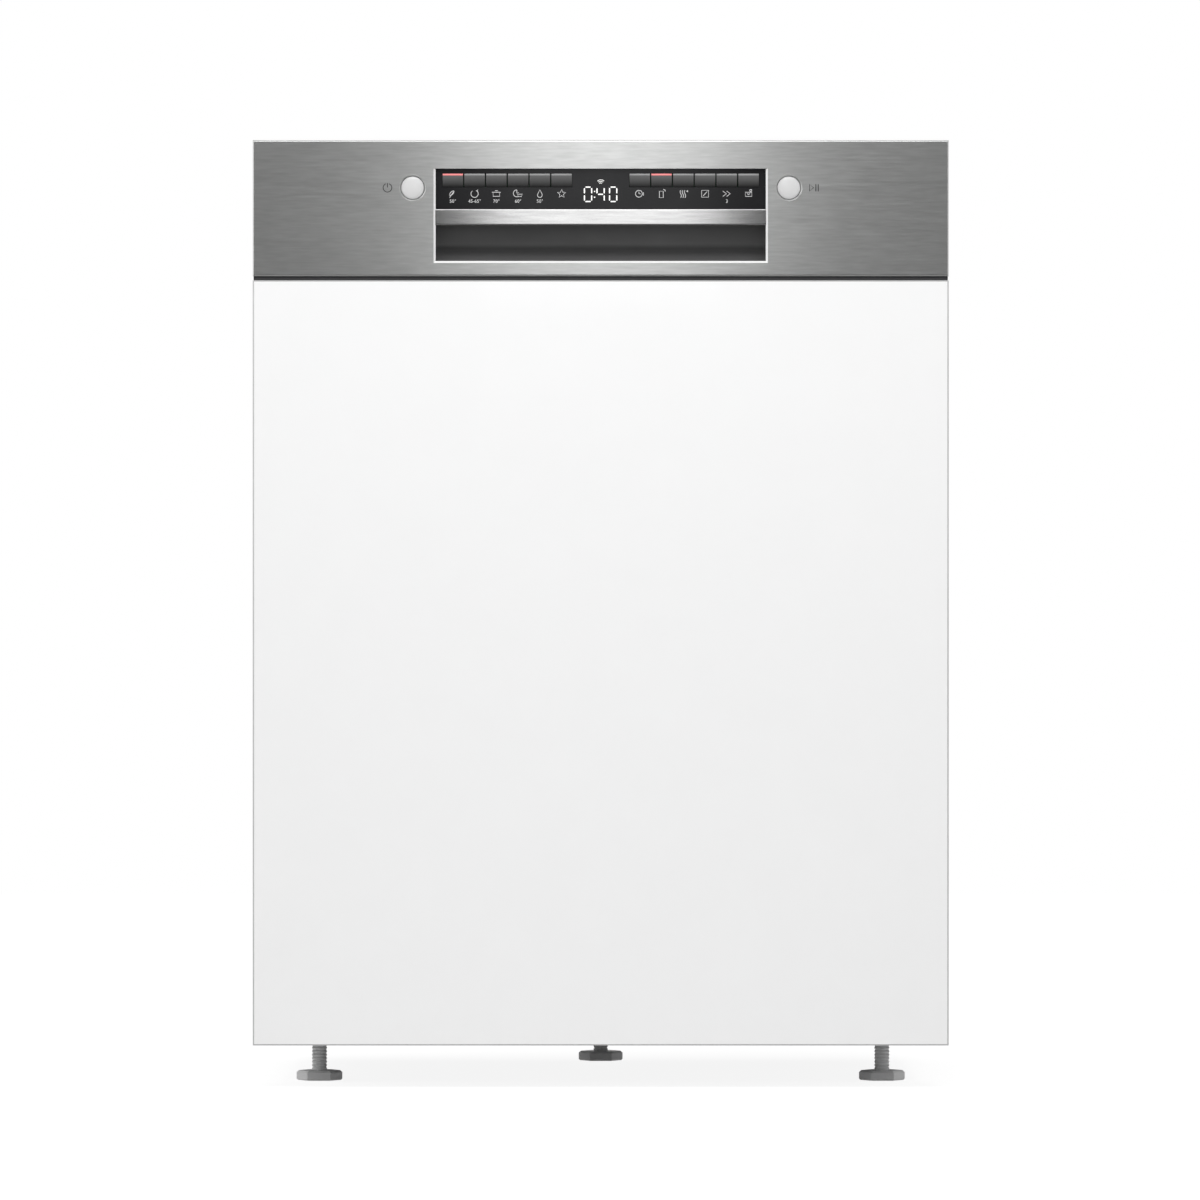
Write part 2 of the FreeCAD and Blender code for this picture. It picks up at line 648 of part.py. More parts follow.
def make_display_cover():
    """The glossy strip, with a guide behind each row of keys."""
    piece = Piece("display_cover")
    side = f"({WINDOW_SIDE} - trim_gap)"
    strip = rectangle(f"-{side}", side, DISPLAY_LOW, f"{WINDOW_TOP} - trim_gap")
    piece.pad("XZ", DISPLAY, DISPLAY_BACK, strip)
    piece.pad("XZ", DISPLAY_BACK, BOARD, *key_row("(key_clearance + key_guide)"))
    piece.pocket("XZ", DISPLAY, BOARD, *key_row("key_clearance"))


def make_handle_bar():
    """The bright bar that the fingers pull, with a rounded front and a bevelled back."""
    piece = Piece("handle_bar")
    back = f"({BAR_FRONT} + bar_depth)"
    low = f"({BAR_TOP} - bar_height)"
    profile = polygon(
        (BAR_FRONT, low),
        (f"{back} - bar_height / 2", low),
        (back, f"{low} + bar_height / 3"),
        (back, BAR_TOP),
        (BAR_FRONT, BAR_TOP),
    )
    piece.pad("YZ", f"-{WINDOW_SIDE}", WINDOW_SIDE, profile)
    piece.fillet("bar_round", both(along("x"), flat(y=BAR_FRONT)))


def make_grip_pocket():
    """The moulded pocket that the fingers reach into, curving up behind the bar."""
    piece = Piece("grip_pocket")
    side = f"({WINDOW_SIDE} + grip_wall)"
    low = f"({WINDOW_LOW} - grip_wall)"
    profile = polygon(
        (DISPLAY_BACK, low),
        (f"{POCKET_BACK} - grip_round", low),
        (POCKET_BACK, f"{low} + grip_round"),
        (POCKET_BACK, POCKET_TOP),
        (DISPLAY_BACK, POCKET_TOP),
    )
    piece.pad("YZ", f"-{side}", side, profile)
    floor_edges = both(along("x"), within(z=(low, f"{low} + grip_round")))
    piece.fillet("grip_round / 2", lambda box: floor_edges(box) and not flat(y=DISPLAY_BACK)(box))
    piece.fillet("grip_round / 2", both(along("x"), flat(y=POCKET_BACK, z=POCKET_TOP)))
    piece.shell("grip_wall", flat(y=DISPLAY_BACK))


def make_control_housing():
    """The tray behind the fascia, flanged on to the outer door sheet, with posts for the control board."""
    piece = Piece("control_housing")
    front = f"({SKIN} - housing_wall)"

    def outline(grow):
        side = f"({HOUSING_SIDE} + {grow})"
        return rectangle(f"-{side}", side, f"{HOUSING_LOW} - {grow}", f"{HOUSING_TOP} + {grow}")

    piece.pad("XZ", front, HOUSING_BACK, outline("0"))
    piece.shell("housing_wall", flat(y=front))
    piece.pad("XZ", front, SKIN, outline("0"), outline("housing_lap"))
    post_low = f"{POCKET_TOP} + post_half + trim_gap"
    post_high = f"{KEY_TOP} - post_half"
    beside = (KEY_END, post_low), (BUTTON_X, post_high), ("key_start", post_low)
    places = [(f"{way}({x})", z) for x, z in beside for way in ("-", "")]
    posts = [
        rectangle(f"{x} - post_half", f"{x} + post_half", f"{z} - post_half", f"{z} + post_half")
        for x, z in places
    ]
    piece.pad("XZ", BOARD_BACK, POCKET_BACK, *posts)


def make_control_board():
    """The circuit board with a switch behind each key and button and the module of the readout."""
    piece = Piece("control_board")
    side = f"({BUTTON_X} + button_radius)"
    low = f"{POCKET_TOP} + trim_gap"
    piece.pad("XZ", BOARD, BOARD_BACK, rectangle(f"-{side}", side, low, f"{KEY_TOP} + key_drop / 2"))
    half = "(key_height / 4)"

    def switch(x, z):
        outline = rectangle(f"{x} - {half}", f"{x} + {half}", f"{z} - {half}", f"{z} + {half}")
        return piece.pad("XZ", SWITCH, BOARD, outline)

    for first_key in (f"-({KEY_END} - {KEY_WIDTH} / 2)", f"(key_start + {KEY_WIDTH} / 2)"):
        piece.repeat([switch(first_key, f"({KEY_TOP} - key_height / 2)")], "X", KEY_PITCH, ROW_COUNT)
    switch(f"-{BUTTON_X}", BUTTON_Z)
    switch(BUTTON_X, BUTTON_Z)
    reach = "(key_start - key_clearance - key_guide * 1.5)"
    module = rectangle(f"-{reach}", reach, low, f"{low} + readout_height")
    piece.pad("XZ", DISPLAY_BACK, BOARD, module)


def make_program_keys():
    """Twelve wedge-shaped keys, whose lit upper edges stand proud of the glossy strip."""
    front = f"({DISPLAY} - key_proud)"
    back = f"({SWITCH} - key_travel - switch_gap)"
    for index in range(2 * ROW_COUNT):
        piece = Piece(f"program_key_{index + 1}")
        if index < ROW_COUNT:
            low = f"(-{KEY_END} + {index} * {KEY_PITCH})"
        else:
            low = f"(key_start + {index - ROW_COUNT} * {KEY_PITCH})"
        profile = polygon(
            (front, KEY_TOP),
            (front, f"{KEY_TOP} - key_lamp"),
            (DISPLAY, KEY_LOW),
            (back, KEY_LOW),
            (back, KEY_TOP),
        )
        piece.pad("YZ", low, f"{low} + {KEY_WIDTH}", profile)


def make_round_button(label, centre):
    """A push button with a bevelled crown, level with the fascia."""
    piece = Piece(label)
    back = f"({SWITCH} - button_travel - switch_gap)"
    piece.pad("XZ", FRONT, back, circle(centre, BUTTON_Z, "button_radius"))
    piece.chamfer("button_crown", flat(y=FRONT))


# The door
def make_furniture_panel():
    """The white front board with eased front edges."""
    piece = Piece("furniture_panel")
    piece.pad("XZ", FRONT, SKIN, rectangle(f"-{SIDE}", SIDE, "toe_height", f"{FASCIA_LOW} - shadow_gap"))
    piece.chamfer("panel_ease", flat(y=FRONT))


def make_outer_door():
    """The door's outer pan, cut out behind the fascia for the control housing."""
    piece = Piece("outer_door")
    low = "(pivot_height - skin_overhang)"
    back = f"({SKIN} + skin_flange)"
    piece.pad("XZ", SKIN, back, rectangle(f"-{SKIN_SIDE}", SKIN_SIDE, low, SKIN_TOP))
    piece.shell("sheet", either(flat(y=back), flat(z=low)))
    sides = both(along("z"), either(flat(x=SKIN_SIDE), flat(x=f"-{SKIN_SIDE}")))
    piece.fillet("sheet + sheet_bend / 2", both(flat(y=SKIN), either(sides, flat(z=SKIN_TOP))))
    side = f"({HOUSING_SIDE} + trim_gap)"
    hole = rectangle(f"-{side}", side, f"{HOUSING_LOW} - trim_gap", f"{HOUSING_TOP} + trim_gap")
    piece.pocket("XZ", SKIN, SKIN_IN, hole)


def dispenser_outline(grow="0"):
    """The dispenser's body behind the inner door, round its middle."""
    lap = f"(dispenser_lap - {grow})"
    side = f"({DISPENSER_SIDE} - {lap})"
    return rectangle(f"-{side}", side, f"{DISPENSER_LOW} + {lap}", f"{DISPENSER_TOP} - {lap}")


def make_inner_door():
    """The stainless inner pan, pressed into the tub, with holes for the dispenser and the latch."""
    piece = Piece("inner_door")
    front = f"({LINER} - liner_depth)"
    piece.pad("XZ", front, LINER, rectangle(f"-{LINER_SIDE}", LINER_SIDE, LINER_LOW, LINER_TOP))
    piece.pad("XZ", LINER, FIELD, rounded(f"-{FIELD_SIDE}", FIELD_SIDE, FIELD_LOW, FIELD_TOP, "field_round"))
    piece.shell("sheet", either(flat(y=front), flat(z=LINER_LOW)))
    piece.chamfer("sheet + sheet_bend", flat(y=FIELD))
    piece.pocket("XZ", f"{FIELD} - sheet", FIELD, dispenser_outline("trim_gap"))
    side = "(tongue_width / 2 + tongue_play)"
    reach = "(tongue_thickness / 2 + tongue_play)"
    slot = rectangle(f"-{side}", side, f"{TONGUE_Z} - {reach}", f"{TONGUE_Z} + {reach}")
    piece.pocket("XZ", LINER_IN, LINER, slot)


def make_door_latch():
    """The latch case on the back of the inner door, open where the tongue enters."""
    piece = Piece("door_latch")
    side = "(latch_width / 2)"
    half = "(latch_height / 2)"
    front = f"({LINER_IN} - latch_depth)"
    case = rectangle(f"-{side}", side, f"{TONGUE_Z} - {half}", f"{TONGUE_Z} + {half}")
    piece.pad("XZ", front, LINER_IN, case)
    piece.chamfer("latch_height / 4", both(along("z"), flat(y=front)))
    mouth = "(tongue_width / 2 + tongue_play)"
    reach = "(tongue_thickness / 2 + tongue_play)"
    slot = rectangle(f"-{mouth}", mouth, f"{TONGUE_Z} - {reach}", f"{TONGUE_Z} + {reach}")
    piece.pocket("XZ", f"{TUB_FRONT} - tongue_reach - tongue_play", LINER_IN, slot)


def make_latch_tongue():
    """The fixed tongue on the tub's flange, with the eye that the latch holds."""
    piece = Piece("latch_tongue")
    foot = f"({TUB_FRONT} - hinge_plate)"
    side = "(tongue_width)"
    half = "(latch_height / 2)"
    plate = rectangle(f"-{side}", side, f"{TONGUE_Z} - {half}", f"{TONGUE_Z} + {half}")
    piece.pad("XZ", foot, TUB_FRONT, plate)
    tongue = rectangle(
        "-tongue_width / 2",
        "tongue_width / 2",
        f"{TONGUE_Z} - tongue_thickness / 2",
        f"{TONGUE_Z} + tongue_thickness / 2",
    )
    piece.pad("XZ", f"{TUB_FRONT} - tongue_reach", foot, tongue)
    tip = f"({TUB_FRONT} - tongue_reach)"
    piece.chamfer("tongue_width / 5", both(along("z"), flat(y=tip)))
    eye = rectangle(
        "-tongue_width / 4",
        "tongue_width / 4",
        f"{tip} + tongue_width / 4",
        f"{tip} + tongue_width / 2",
    )
    piece.pocket("XY", f"{TONGUE_Z} - tongue_thickness / 2", f"{TONGUE_Z} + tongue_thickness / 2", eye)


def lid_outline(grow="0", slide="0"):
    """The detergent lid, and how far down its track runs."""
    left = f"(-{DISPENSER_SIDE} + dispenser_lap * 1.5 - {grow})"
    right = f"({left} + lid_width + {grow} * 2)"
    top = f"({DISPENSER_TOP} - dispenser_lap * 1.5 + {grow})"
    return rectangle(left, right, f"{top} - lid_height - {slide} - {grow} * 2", top)


def flap_outline(grow="0"):
    """The rinse aid flap, low enough to open between the racks."""
    right = f"({DISPENSER_SIDE} - dispenser_lap * 3 + {grow})"
    low = f"({DISPENSER_LOW} + dispenser_lap - {grow})"
    return rectangle(f"{right} - flap_width - {grow} * 2", right, low, f"{low} + flap_height + {grow} * 2")


def make_dispenser():
    """The dispenser in the inner door: a track for the lid over the detergent chamber and a filler neck."""
    piece = Piece("dispenser")
    sides = (f"-{DISPENSER_SIDE}", DISPENSER_SIDE)
    piece.pad("XZ", FIELD, LID_FACE, cut_corners(*sides, DISPENSER_LOW, DISPENSER_TOP, "dispenser_lap"))
    piece.chamfer("lid_thickness", flat(y=LID_FACE))
    piece.pad("XZ", f"{FIELD} - dispenser_body", FIELD, dispenser_outline())
    bed = f"({LID_FACE} - lid_thickness - lid_clearance)"
    floor = f"({FIELD} - dispenser_body + basket_wall)"
    track = lid_outline("lid_clearance", "lid_travel")
    piece.pocket("XZ", bed, LID_FACE, track, flap_outline("lid_clearance * 2"))
    piece.pocket("XZ", floor, bed, lid_outline("-dispenser_lap"))
    filler = circle(
        f"{DISPENSER_SIDE} - dispenser_lap * 3 - flap_width / 2",
        f"{DISPENSER_LOW} + dispenser_lap + flap_height / 2",
        "flap_height / 4",
    )
    piece.pocket("XZ", floor, bed, filler)


def make_dispenser_lid():
    """The sliding lid, with a rib for the thumb."""
    piece = Piece("dispenser_lid")
    back = f"({LID_FACE} - lid_thickness)"
    piece.pad("XZ", back, LID_FACE, lid_outline())
    middle = f"(-{DISPENSER_SIDE} + dispenser_lap * 1.5 + lid_width / 2)"
    low = f"({DISPENSER_TOP} - dispenser_lap * 1.5 - lid_height / 3)"
    rib = rectangle(f"{middle} - lid_width / 3", f"{middle} + lid_width / 3", low, f"{low} + lid_thickness")
    piece.pad("XZ", LID_FACE, f"{LID_FACE} + lid_thickness * 0.7", rib)


def make_rinse_aid_flap():
    """The flap over the rinse aid filler, with a round hinge edge along its top."""
    piece = Piece("rinse_aid_flap")
    back = f"({LID_FACE} - lid_thickness)"
    top = f"({DISPENSER_LOW} + dispenser_lap + flap_height)"
    piece.pad("XZ", back, LID_FACE, flap_outline())
    piece.fillet("lid_thickness * 0.49", both(along("x"), flat(z=top)))
    right = f"({DISPENSER_SIDE} - dispenser_lap * 3)"
    low = f"({DISPENSER_LOW} + dispenser_lap)"
    tab = rectangle(
        f"{right} - flap_width * 0.7", f"{right} - flap_width * 0.3", low, f"{low} + lid_thickness"
    )
    piece.pad("XZ", LID_FACE, f"{LID_FACE} + lid_thickness * 0.7", tab)


def make_door_bottom_seal():
    """The rubber lip along the bottom of the inner door."""
    piece = Piece("door_bottom_seal")
    side = f"({FIELD_SIDE})"
    profile = polygon(
        (LINER, LINER_LOW),
        (f"{TUB_FRONT} - seal_clearance", f"{LINER_LOW} + sheet"),
        (f"{TUB_FRONT} - seal_clearance", f"{LINER_LOW} + seal_width / 2"),
        (LINER, f"{LINER_LOW} + seal_width"),
    )
    piece.pad("YZ", f"-{side}", side, profile)


def make_hinge_arms():
    """The door's two arms, bored for the hinge pins and flanged on to the inner door."""
    piece = Piece("hinge_arms")
    low = f"{PIVOT_Z}"
    top = f"({LINER_LOW} + hinge_arm)"
    shank = polygon(
        (f"{PIVOT_Y} - hinge_nose", low),
        (f"{PIVOT_Y} + hinge_nose", low),
        (LINER_IN, f"{LINER_LOW} + hinge_nose"),
        (LINER_IN, top),
        (f"{LINER_IN} - hinge_nose", top),
        (f"{PIVOT_Y} - hinge_nose", f"{LINER_LOW} + hinge_nose * 4"),
    )
    plate = piece.pad("YZ", ARM_IN, ARM_OUT, shank)
    nose = piece.pad("YZ", ARM_IN, ARM_OUT, flats(PIVOT_Y, PIVOT_Z, "hinge_nose", 12))
    bore = piece.pocket("YZ", ARM_IN, ARM_OUT, circle(PIVOT_Y, PIVOT_Z, "pin_radius + pin_clearance"))
    strip = rectangle(f"{ARM_IN} - hinge_nose", ARM_IN, f"{LINER_LOW} + hinge_nose * 3", top)
    flange = piece.pad("XZ", f"{LINER_IN} - hinge_plate", LINER_IN, strip)
    piece.mirror([plate, nose, bore, flange])


def make_door_hinges():
    """The base's two hinge plates with their pins, and the springs that balance the door."""
    piece = Piece("door_hinges")
    neck_low = f"({PIVOT_Z} - hinge_nose * 0.8)"
    neck_top = f"({PIVOT_Z} + hinge_nose * 0.8)"
    root = f"({BASE_FRONT} + hinge_nose * 6)"
    bottom = f"({PIVOT_Z} - hinge_nose * 3)"
    outline = polygon(
        (PIVOT_Y, neck_low),
        (BASE_FRONT, neck_low),
        (BASE_FRONT, bottom),
        (root, bottom),
        (root, neck_top),
        (PIVOT_Y, neck_top),
    )
    parts = [
        piece.pad("YZ", FLANGE_SIDE, PLATE_OUT, outline),
        piece.pad("YZ", FLANGE_SIDE, PLATE_OUT, flats(PIVOT_Y, PIVOT_Z, "hinge_nose", 12)),
        piece.pad("YZ", f"{ARM_IN} - hinge_plate", FLANGE_SIDE, circle(PIVOT_Y, PIVOT_Z, "pin_radius")),
    ]
    half = "(pin_radius / 2)"
    levels = (f"{SPRING_Z} - {half}", f"{SPRING_Z} + {half}")
    hooks = rectangle(f"{SPRING_X} - {half}", f"{SPRING_X} + {half}", *levels)
    coil = flats(SPRING_X, SPRING_Z, "spring_radius", 12)
    parts += [
        piece.pad("XZ", f"{BASE_FRONT} + base_wall", SPRING_END, hooks),
        piece.pad("XZ", SPRING_START, f"{SPRING_START} + spring_length", coil),
    ]
    piece.mirror(parts)


# The base, tub and casing
FEET = {"left": (f"-{FOOT_X}", FRONT_FOOT_Y), "right": (FOOT_X, FRONT_FOOT_Y), "rear": ("0", REAR_FOOT_Y)}


def make_base_tray():
    """The moulded base: an open tray with a shoulder for the casing and bosses for the feet."""
    piece = Piece("base_tray")
    outline = rectangle(f"-{FLANGE_SIDE}", FLANGE_SIDE, BASE_FRONT, TUB_BACK)
    piece.pad("XY", "base_bottom", BASE_TOP, outline)
    sides = either(flat(x=FLANGE_SIDE), flat(x=f"-{FLANGE_SIDE}"), flat(y=BASE_FRONT), flat(y=TUB_BACK))
    piece.chamfer("base_wall * 2", both(flat(z="base_bottom"), sides))
    piece.shell("base_wall", flat(z=BASE_TOP))
    inside = f"({FLANGE_SIDE} - base_wall)"
    inner = rectangle(f"-{inside}", inside, f"{BASE_FRONT} + base_wall", f"{TUB_BACK} - base_wall")
    shoulder = rectangle(f"-{CASING_SIDE}", CASING_SIDE, BASE_FRONT, BACK)
    piece.pad("XY", f"{BASE_TOP} - base_wall", BASE_TOP, shoulder, inner)
    boss = "(foot_stem + foot_clearance + boss_wall)"
    floor = "(base_bottom + base_wall)"
    piece.pad("XY", floor, f"{floor} + boss_height", *[flats(x, y, boss, 8) for x, y in FEET.values()])
    bore = "(foot_stem + foot_clearance)"
    bores = [flats(x, y, bore, 12) for x, y in FEET.values()]
    piece.pocket("XY", "base_bottom", f"{floor} + boss_height", *bores)
    ribs = [
        rectangle(f"-{inside}", inside, f"{middle} - base_wall / 2", f"{middle} + base_wall / 2")
        for middle in (FILTER_Y, f"({AXIS_Y} + filter_offset)")
    ]
    piece.pad("XY", floor, f"{floor} + foot_pad", *ribs)
    inner_end = f"({SPRING_X} - spring_radius / 2)"
    anchors = [
        rectangle(low, high, SPRING_END, f"{SPRING_END} + base_wall * 2")
        for low, high in ((f"-{inside}", f"-{inner_end}"), (inner_end, inside))
    ]
    piece.pad("XY", floor, f"{SPRING_Z} + spring_radius", *anchors)


def make_foot(label, side):
    """A six-sided foot pad on a spindle that screws into the base."""
    piece = Piece(label)
    x, y = FEET[side]
    piece.pad("XY", "0", "foot_pad", flats(x, y, "foot_radius", 6))
    stem_top = "(base_bottom + base_wall + boss_height)"
    piece.pad("XY", "foot_pad", stem_top, flats(x, y, "foot_stem", 12))


def tub_section(inset="0"):
    """The tub from the front: a sunk floor between two ledges, and round upper corners."""
    side = f"({TUB_SIDE} - {inset})"
    sink = f"({SINK_SIDE} - {inset})"
    floor = f"({TUB_FLOOR} + {inset})"
    ledge = f"({LEDGE} + {inset})"
    top = f"({TUB_TOP} - {inset})"
    upper = f"(tub_round - {inset})"
    outer = f"(ledge_round - {inset})"
    inner = f"(ledge_round + {inset})"
    return soft(
        (f"-{sink}", floor, outer),
        (sink, floor, outer),
        (sink, ledge, inner),
        (side, ledge, outer),
        (side, top, upper),
        (f"-{side}", top, upper),
        (f"-{side}", ledge, outer),
        (f"-{sink}", ledge, inner),
    )


def make_tub():
    """The pressed stainless tub, with its front flange and the holes for the sump, salt and water."""
    piece = Piece("tub")
    piece.pad("XZ", TUB_FRONT, TUB_BACK, tub_section())
    piece.shell("sheet", flat(y=TUB_FRONT))
    flange = rectangle(f"-{FLANGE_SIDE}", FLANGE_SIDE, f"{TUB_FLOOR} - sill_depth", FLANGE_TOP)
    piece.pad("XZ", TUB_FRONT, f"{TUB_FRONT} + sheet", flange, tub_section("sheet"))
    holes = [
        sump_outline(),
        flats("-salt_x", SALT_Y, "cap_radius", 12),
        rectangle("-riser_radius", "riser_radius", f"{DUCT_FRONT} + sheet", f"{BACK_IN} - sheet"),
    ]
    piece.pocket("XY", TUB_FLOOR, FLOOR_IN, *holes)


def make_door_seal():
    """The rubber profile round the sides and top of the tub's opening."""
    piece = Piece("door_seal")
    middle = f"({TUB_SIDE} + flange_width / 2)"
    upper = f"({TUB_TOP} + flange_width / 2)"
    out = f"({middle} + seal_width / 2)"
    inside = f"({middle} - seal_width / 2)"
    outline = polygon(
        (f"-{out}", LEDGE),
        (f"-{inside}", LEDGE),
        (f"-{inside}", f"{upper} - seal_width / 2"),
        (inside, f"{upper} - seal_width / 2"),
        (inside, LEDGE),
        (out, LEDGE),
        (out, f"{upper} + seal_width / 2"),
        (f"-{out}", f"{upper} + seal_width / 2"),
    )
    piece.pad("XZ", f"{LINER} + seal_clearance", TUB_FRONT, outline)
    piece.chamfer("seal_width / 4", flat(y=f"{LINER} + seal_clearance"))


def make_side_panels():
    """The two folded side panels, each with pressed fields."""
    piece = Piece("right_side_panel")
    outline = rectangle(TUB_FRONT, CASING_BACK, BASE_TOP, FLANGE_TOP)
    piece.pad("YZ", FLANGE_SIDE, CASING_SIDE, outline)
    middle = f"(({BASE_TOP} + {FLANGE_TOP}) / 2)"
    fields = [
        rectangle(f"{TUB_FRONT} + emboss_margin", f"{CASING_BACK} - emboss_margin", low, high)
        for low, high in (
            (f"{BASE_TOP} + emboss_margin", f"{middle} - emboss_margin / 2"),
            (f"{middle} + emboss_margin / 2", f"{FLANGE_TOP} - emboss_margin"),
        )
    ]
    piece.pocket("YZ", f"{CASING_SIDE} - emboss", CASING_SIDE, *fields)
    piece.shell("sheet", flat(x=FLANGE_SIDE))
    twin("side_panels", piece.body)


def make_rear_panel():
    """The folded rear panel with a pressed field."""
    piece = Piece("rear_panel")
    piece.pad("XZ", CASING_BACK, BACK, rectangle(f"-{CASING_SIDE}", CASING_SIDE, BASE_TOP, FLANGE_TOP))
    low = f"({BASE_TOP} + emboss_margin)"
    high = f"({FLANGE_TOP} - emboss_margin)"
    side = f"({CASING_SIDE} - emboss_margin)"
    field = cut_corners(f"-{side}", side, low, high, "emboss_margin / 2")
    piece.pocket("XZ", f"{BACK} - emboss", BACK, field)
    piece.shell("sheet", flat(y=CASING_BACK))


def make_tub_insulation():
    """The felt wrapped over the top and the sides of the tub."""
    piece = Piece("tub_insulation")
    out = f"({TUB_SIDE} + mat_thickness)"
    low = f"({LEDGE} + ledge_width)"
    crown = f"({TUB_TOP} + mat_thickness)"
    # A corner cut by this share of its radius touches the round corner inside it.
    share = "(2 - sqrt(2))"
    inner = f"(tub_round * {share})"
    outer = f"((tub_round + mat_thickness) * {share})"
    outline = polygon(
        (f"-{out}", low),
        (f"-{TUB_SIDE}", low),
        (f"-{TUB_SIDE}", f"{TUB_TOP} - {inner}"),
        (f"-{TUB_SIDE} + {inner}", TUB_TOP),
        (f"{TUB_SIDE} - {inner}", TUB_TOP),
        (TUB_SIDE, f"{TUB_TOP} - {inner}"),
        (TUB_SIDE, low),
        (out, low),
        (out, f"{crown} - {outer}"),
        (f"{out} - {outer}", crown),
        (f"-{out} + {outer}", crown),
        (f"-{out}", f"{crown} - {outer}"),
    )
    piece.pad("XZ", f"{TUB_FRONT} + mat_thickness", f"{TUB_BACK} - ledge_round", outline)


def make_top_frame():
    """The channel-section frame on top of the casing, with brackets for the worktop screws."""
    piece = Piece("top_frame")
    top = f"({FLANGE_TOP} + frame_height)"
    outer = rectangle(f"-{CASING_SIDE}", CASING_SIDE, TUB_FRONT, BACK)
    side = f"({CASING_SIDE} - frame_width)"
    inner = rectangle(f"-{side}", side, f"{TUB_FRONT} + frame_width * 2", f"{BACK} - frame_width")
    piece.pad("XY", FLANGE_TOP, top, outer, inner)
    piece.shell("sheet * 1.5", flat(z=FLANGE_TOP))
    hole_y = f"{TUB_FRONT} + frame_width"
    holes = [circle(f"{way}screw_spacing / 2", hole_y, "screw_radius") for way in ("-", "")]
    piece.pocket("XY", FLANGE_TOP, top, *holes)


def make_kick_plate():
    """The plate over the front of the base, with folded ends and two screw holes."""
    piece = Piece("kick_plate")
    side = f"({FLANGE_SIDE} - foot_pad)"
    low = "(base_bottom + base_wall)"
    front = f"({BASE_FRONT} - kick_sheet)"
    piece.pad("XZ", front, BASE_FRONT, rectangle(f"-{side}", side, low, f"{low} + kick_height"))
    piece.chamfer("foot_pad", both(along("y"), flat(z=low)))
    middle = f"({low} + kick_height / 2)"
    holes = [flats(f"{way}screw_spacing / 2", middle, "screw_radius", 6) for way in ("-", "")]
    piece.pocket("XZ", front, BASE_FRONT, *holes)


# Water parts
def sump_outline(inset="0"):
    """The bowl from above: a square with its corners cut off."""
    reach = f"(sump_reach - {inset})"
    return cut_corners(f"-{reach}", reach, f"{SUMP_Y} - {reach}", f"{SUMP_Y} + {reach}", "sump_reach / 2")


def make_sump():
    """The bowl under the tub, and the pipe that the lower spray arm turns on."""
    piece = Piece("sump")
    bottom = f"({TUB_FLOOR} - sump_depth)"
    piece.pad("XY", bottom, TUB_FLOOR, sump_outline())
    piece.pocket("XY", f"{bottom} + sump_wall", TUB_FLOOR, sump_outline("sump_wall"))
    piece.pad("XY", f"{bottom} + sump_wall", LOWER_ARM, flats("0", AXIS_Y, "riser_radius", 12))
    nipple_top = f"({LOWER_ARM} + arm_thickness - sump_wall)"
    piece.pad("XY", LOWER_ARM, nipple_top, circle("0", AXIS_Y, "nipple_radius"))
    bore = flats("0", AXIS_Y, "(nipple_radius - sump_wall)", 8)
    piece.pocket("XY", f"{bottom} + sump_wall", nipple_top, bore)


def make_fine_filter():
    """The strainer plate over the sump, with holes for the filter cylinder and the spray pipe."""
    piece = Piece("fine_filter")
    edges = ("-strainer_reach", "strainer_reach", f"{SUMP_Y} - strainer_reach", f"{SUMP_Y} + strainer_reach")
    piece.pad("XY", FLOOR_IN, STRAINER_TOP, cut_corners(*edges, "strainer_reach / 2"))
    holes = [
        flats("0", FILTER_Y, "((filter_radius + filter_clearance) / cos(15))", 12),
        flats("0", AXIS_Y, "(riser_radius + arm_clearance)", 12),
    ]
    piece.pocket("XY", FLOOR_IN, STRAINER_TOP, *holes)


def make_filter_cylinder():
    """The removable filter: a cup with a grip across its mouth, turned to lock."""
    piece = Piece("filter_cylinder")
    bottom = f"({TUB_FLOOR} - sump_depth * 0.6)"
    rim = f"({STRAINER_TOP} + sump_wall)"
    piece.pad("XY", bottom, rim, circle("0", FILTER_Y, "filter_radius"))
    piece.pocket("XY", f"{bottom} + sump_wall", rim, flats("0", FILTER_Y, "(filter_radius - sump_wall)", 12))
    end = "(filter_radius - sump_wall / 2)"
    grip = rectangle(f"-{end}", end, f"{FILTER_Y} - sump_wall", f"{FILTER_Y} + sump_wall")
    piece.pad("XY", STRAINER_TOP, f"{STRAINER_TOP} + sump_wall * 4", grip)
    piece.chamfer("sump_wall * 2", both(along("y"), flat(z=f"{STRAINER_TOP} + sump_wall * 4")))


def make_pumps():
    """The circulation pump and the drain pump on the sump's two sides."""
    piece = Piece("pumps")
    level = f"({TUB_FLOOR} - sump_depth * 2 / 3)"
    near = "sump_reach"
    far = f"({near} + pump_length)"
    piece.pad("YZ", near, f"{near} + pump_length / 3", flats(SUMP_Y, level, "pump_radius", 16))
    piece.pad("YZ", f"{near} + pump_length / 3", far, flats(SUMP_Y, level, "pump_radius * 0.8", 16))
    piece.pad("YZ", f"-{near} - pump_length / 2", f"-{near}", flats(SUMP_Y, level, "pump_radius * 0.7", 16))


def make_water_softener():
    """The salt container under the tub, whose neck comes up through the floor."""
    piece = Piece("water_softener")
    top = f"({TUB_FLOOR} - sump_wall * 3)"
    half = "(cap_radius * 1.5)"
    sides = (f"-salt_x - {half}", "-salt_x + cap_radius")
    outline = rectangle(*sides, f"{SALT_Y} - cap_radius", f"{SALT_Y} + {half}")
    piece.pad("XY", "base_bottom + base_wall", top, outline)
    piece.chamfer("sump_wall * 3", along("z"))
    piece.pad("XY", top, f"{FLOOR_IN} + sump_wall", flats("-salt_x", SALT_Y, "(cap_radius - sump_wall)", 12))
    mouth = flats("-salt_x", SALT_Y, "(cap_radius - sump_wall * 2)", 12)
    piece.pocket("XY", "base_bottom + base_wall * 2", f"{FLOOR_IN} + sump_wall", mouth)


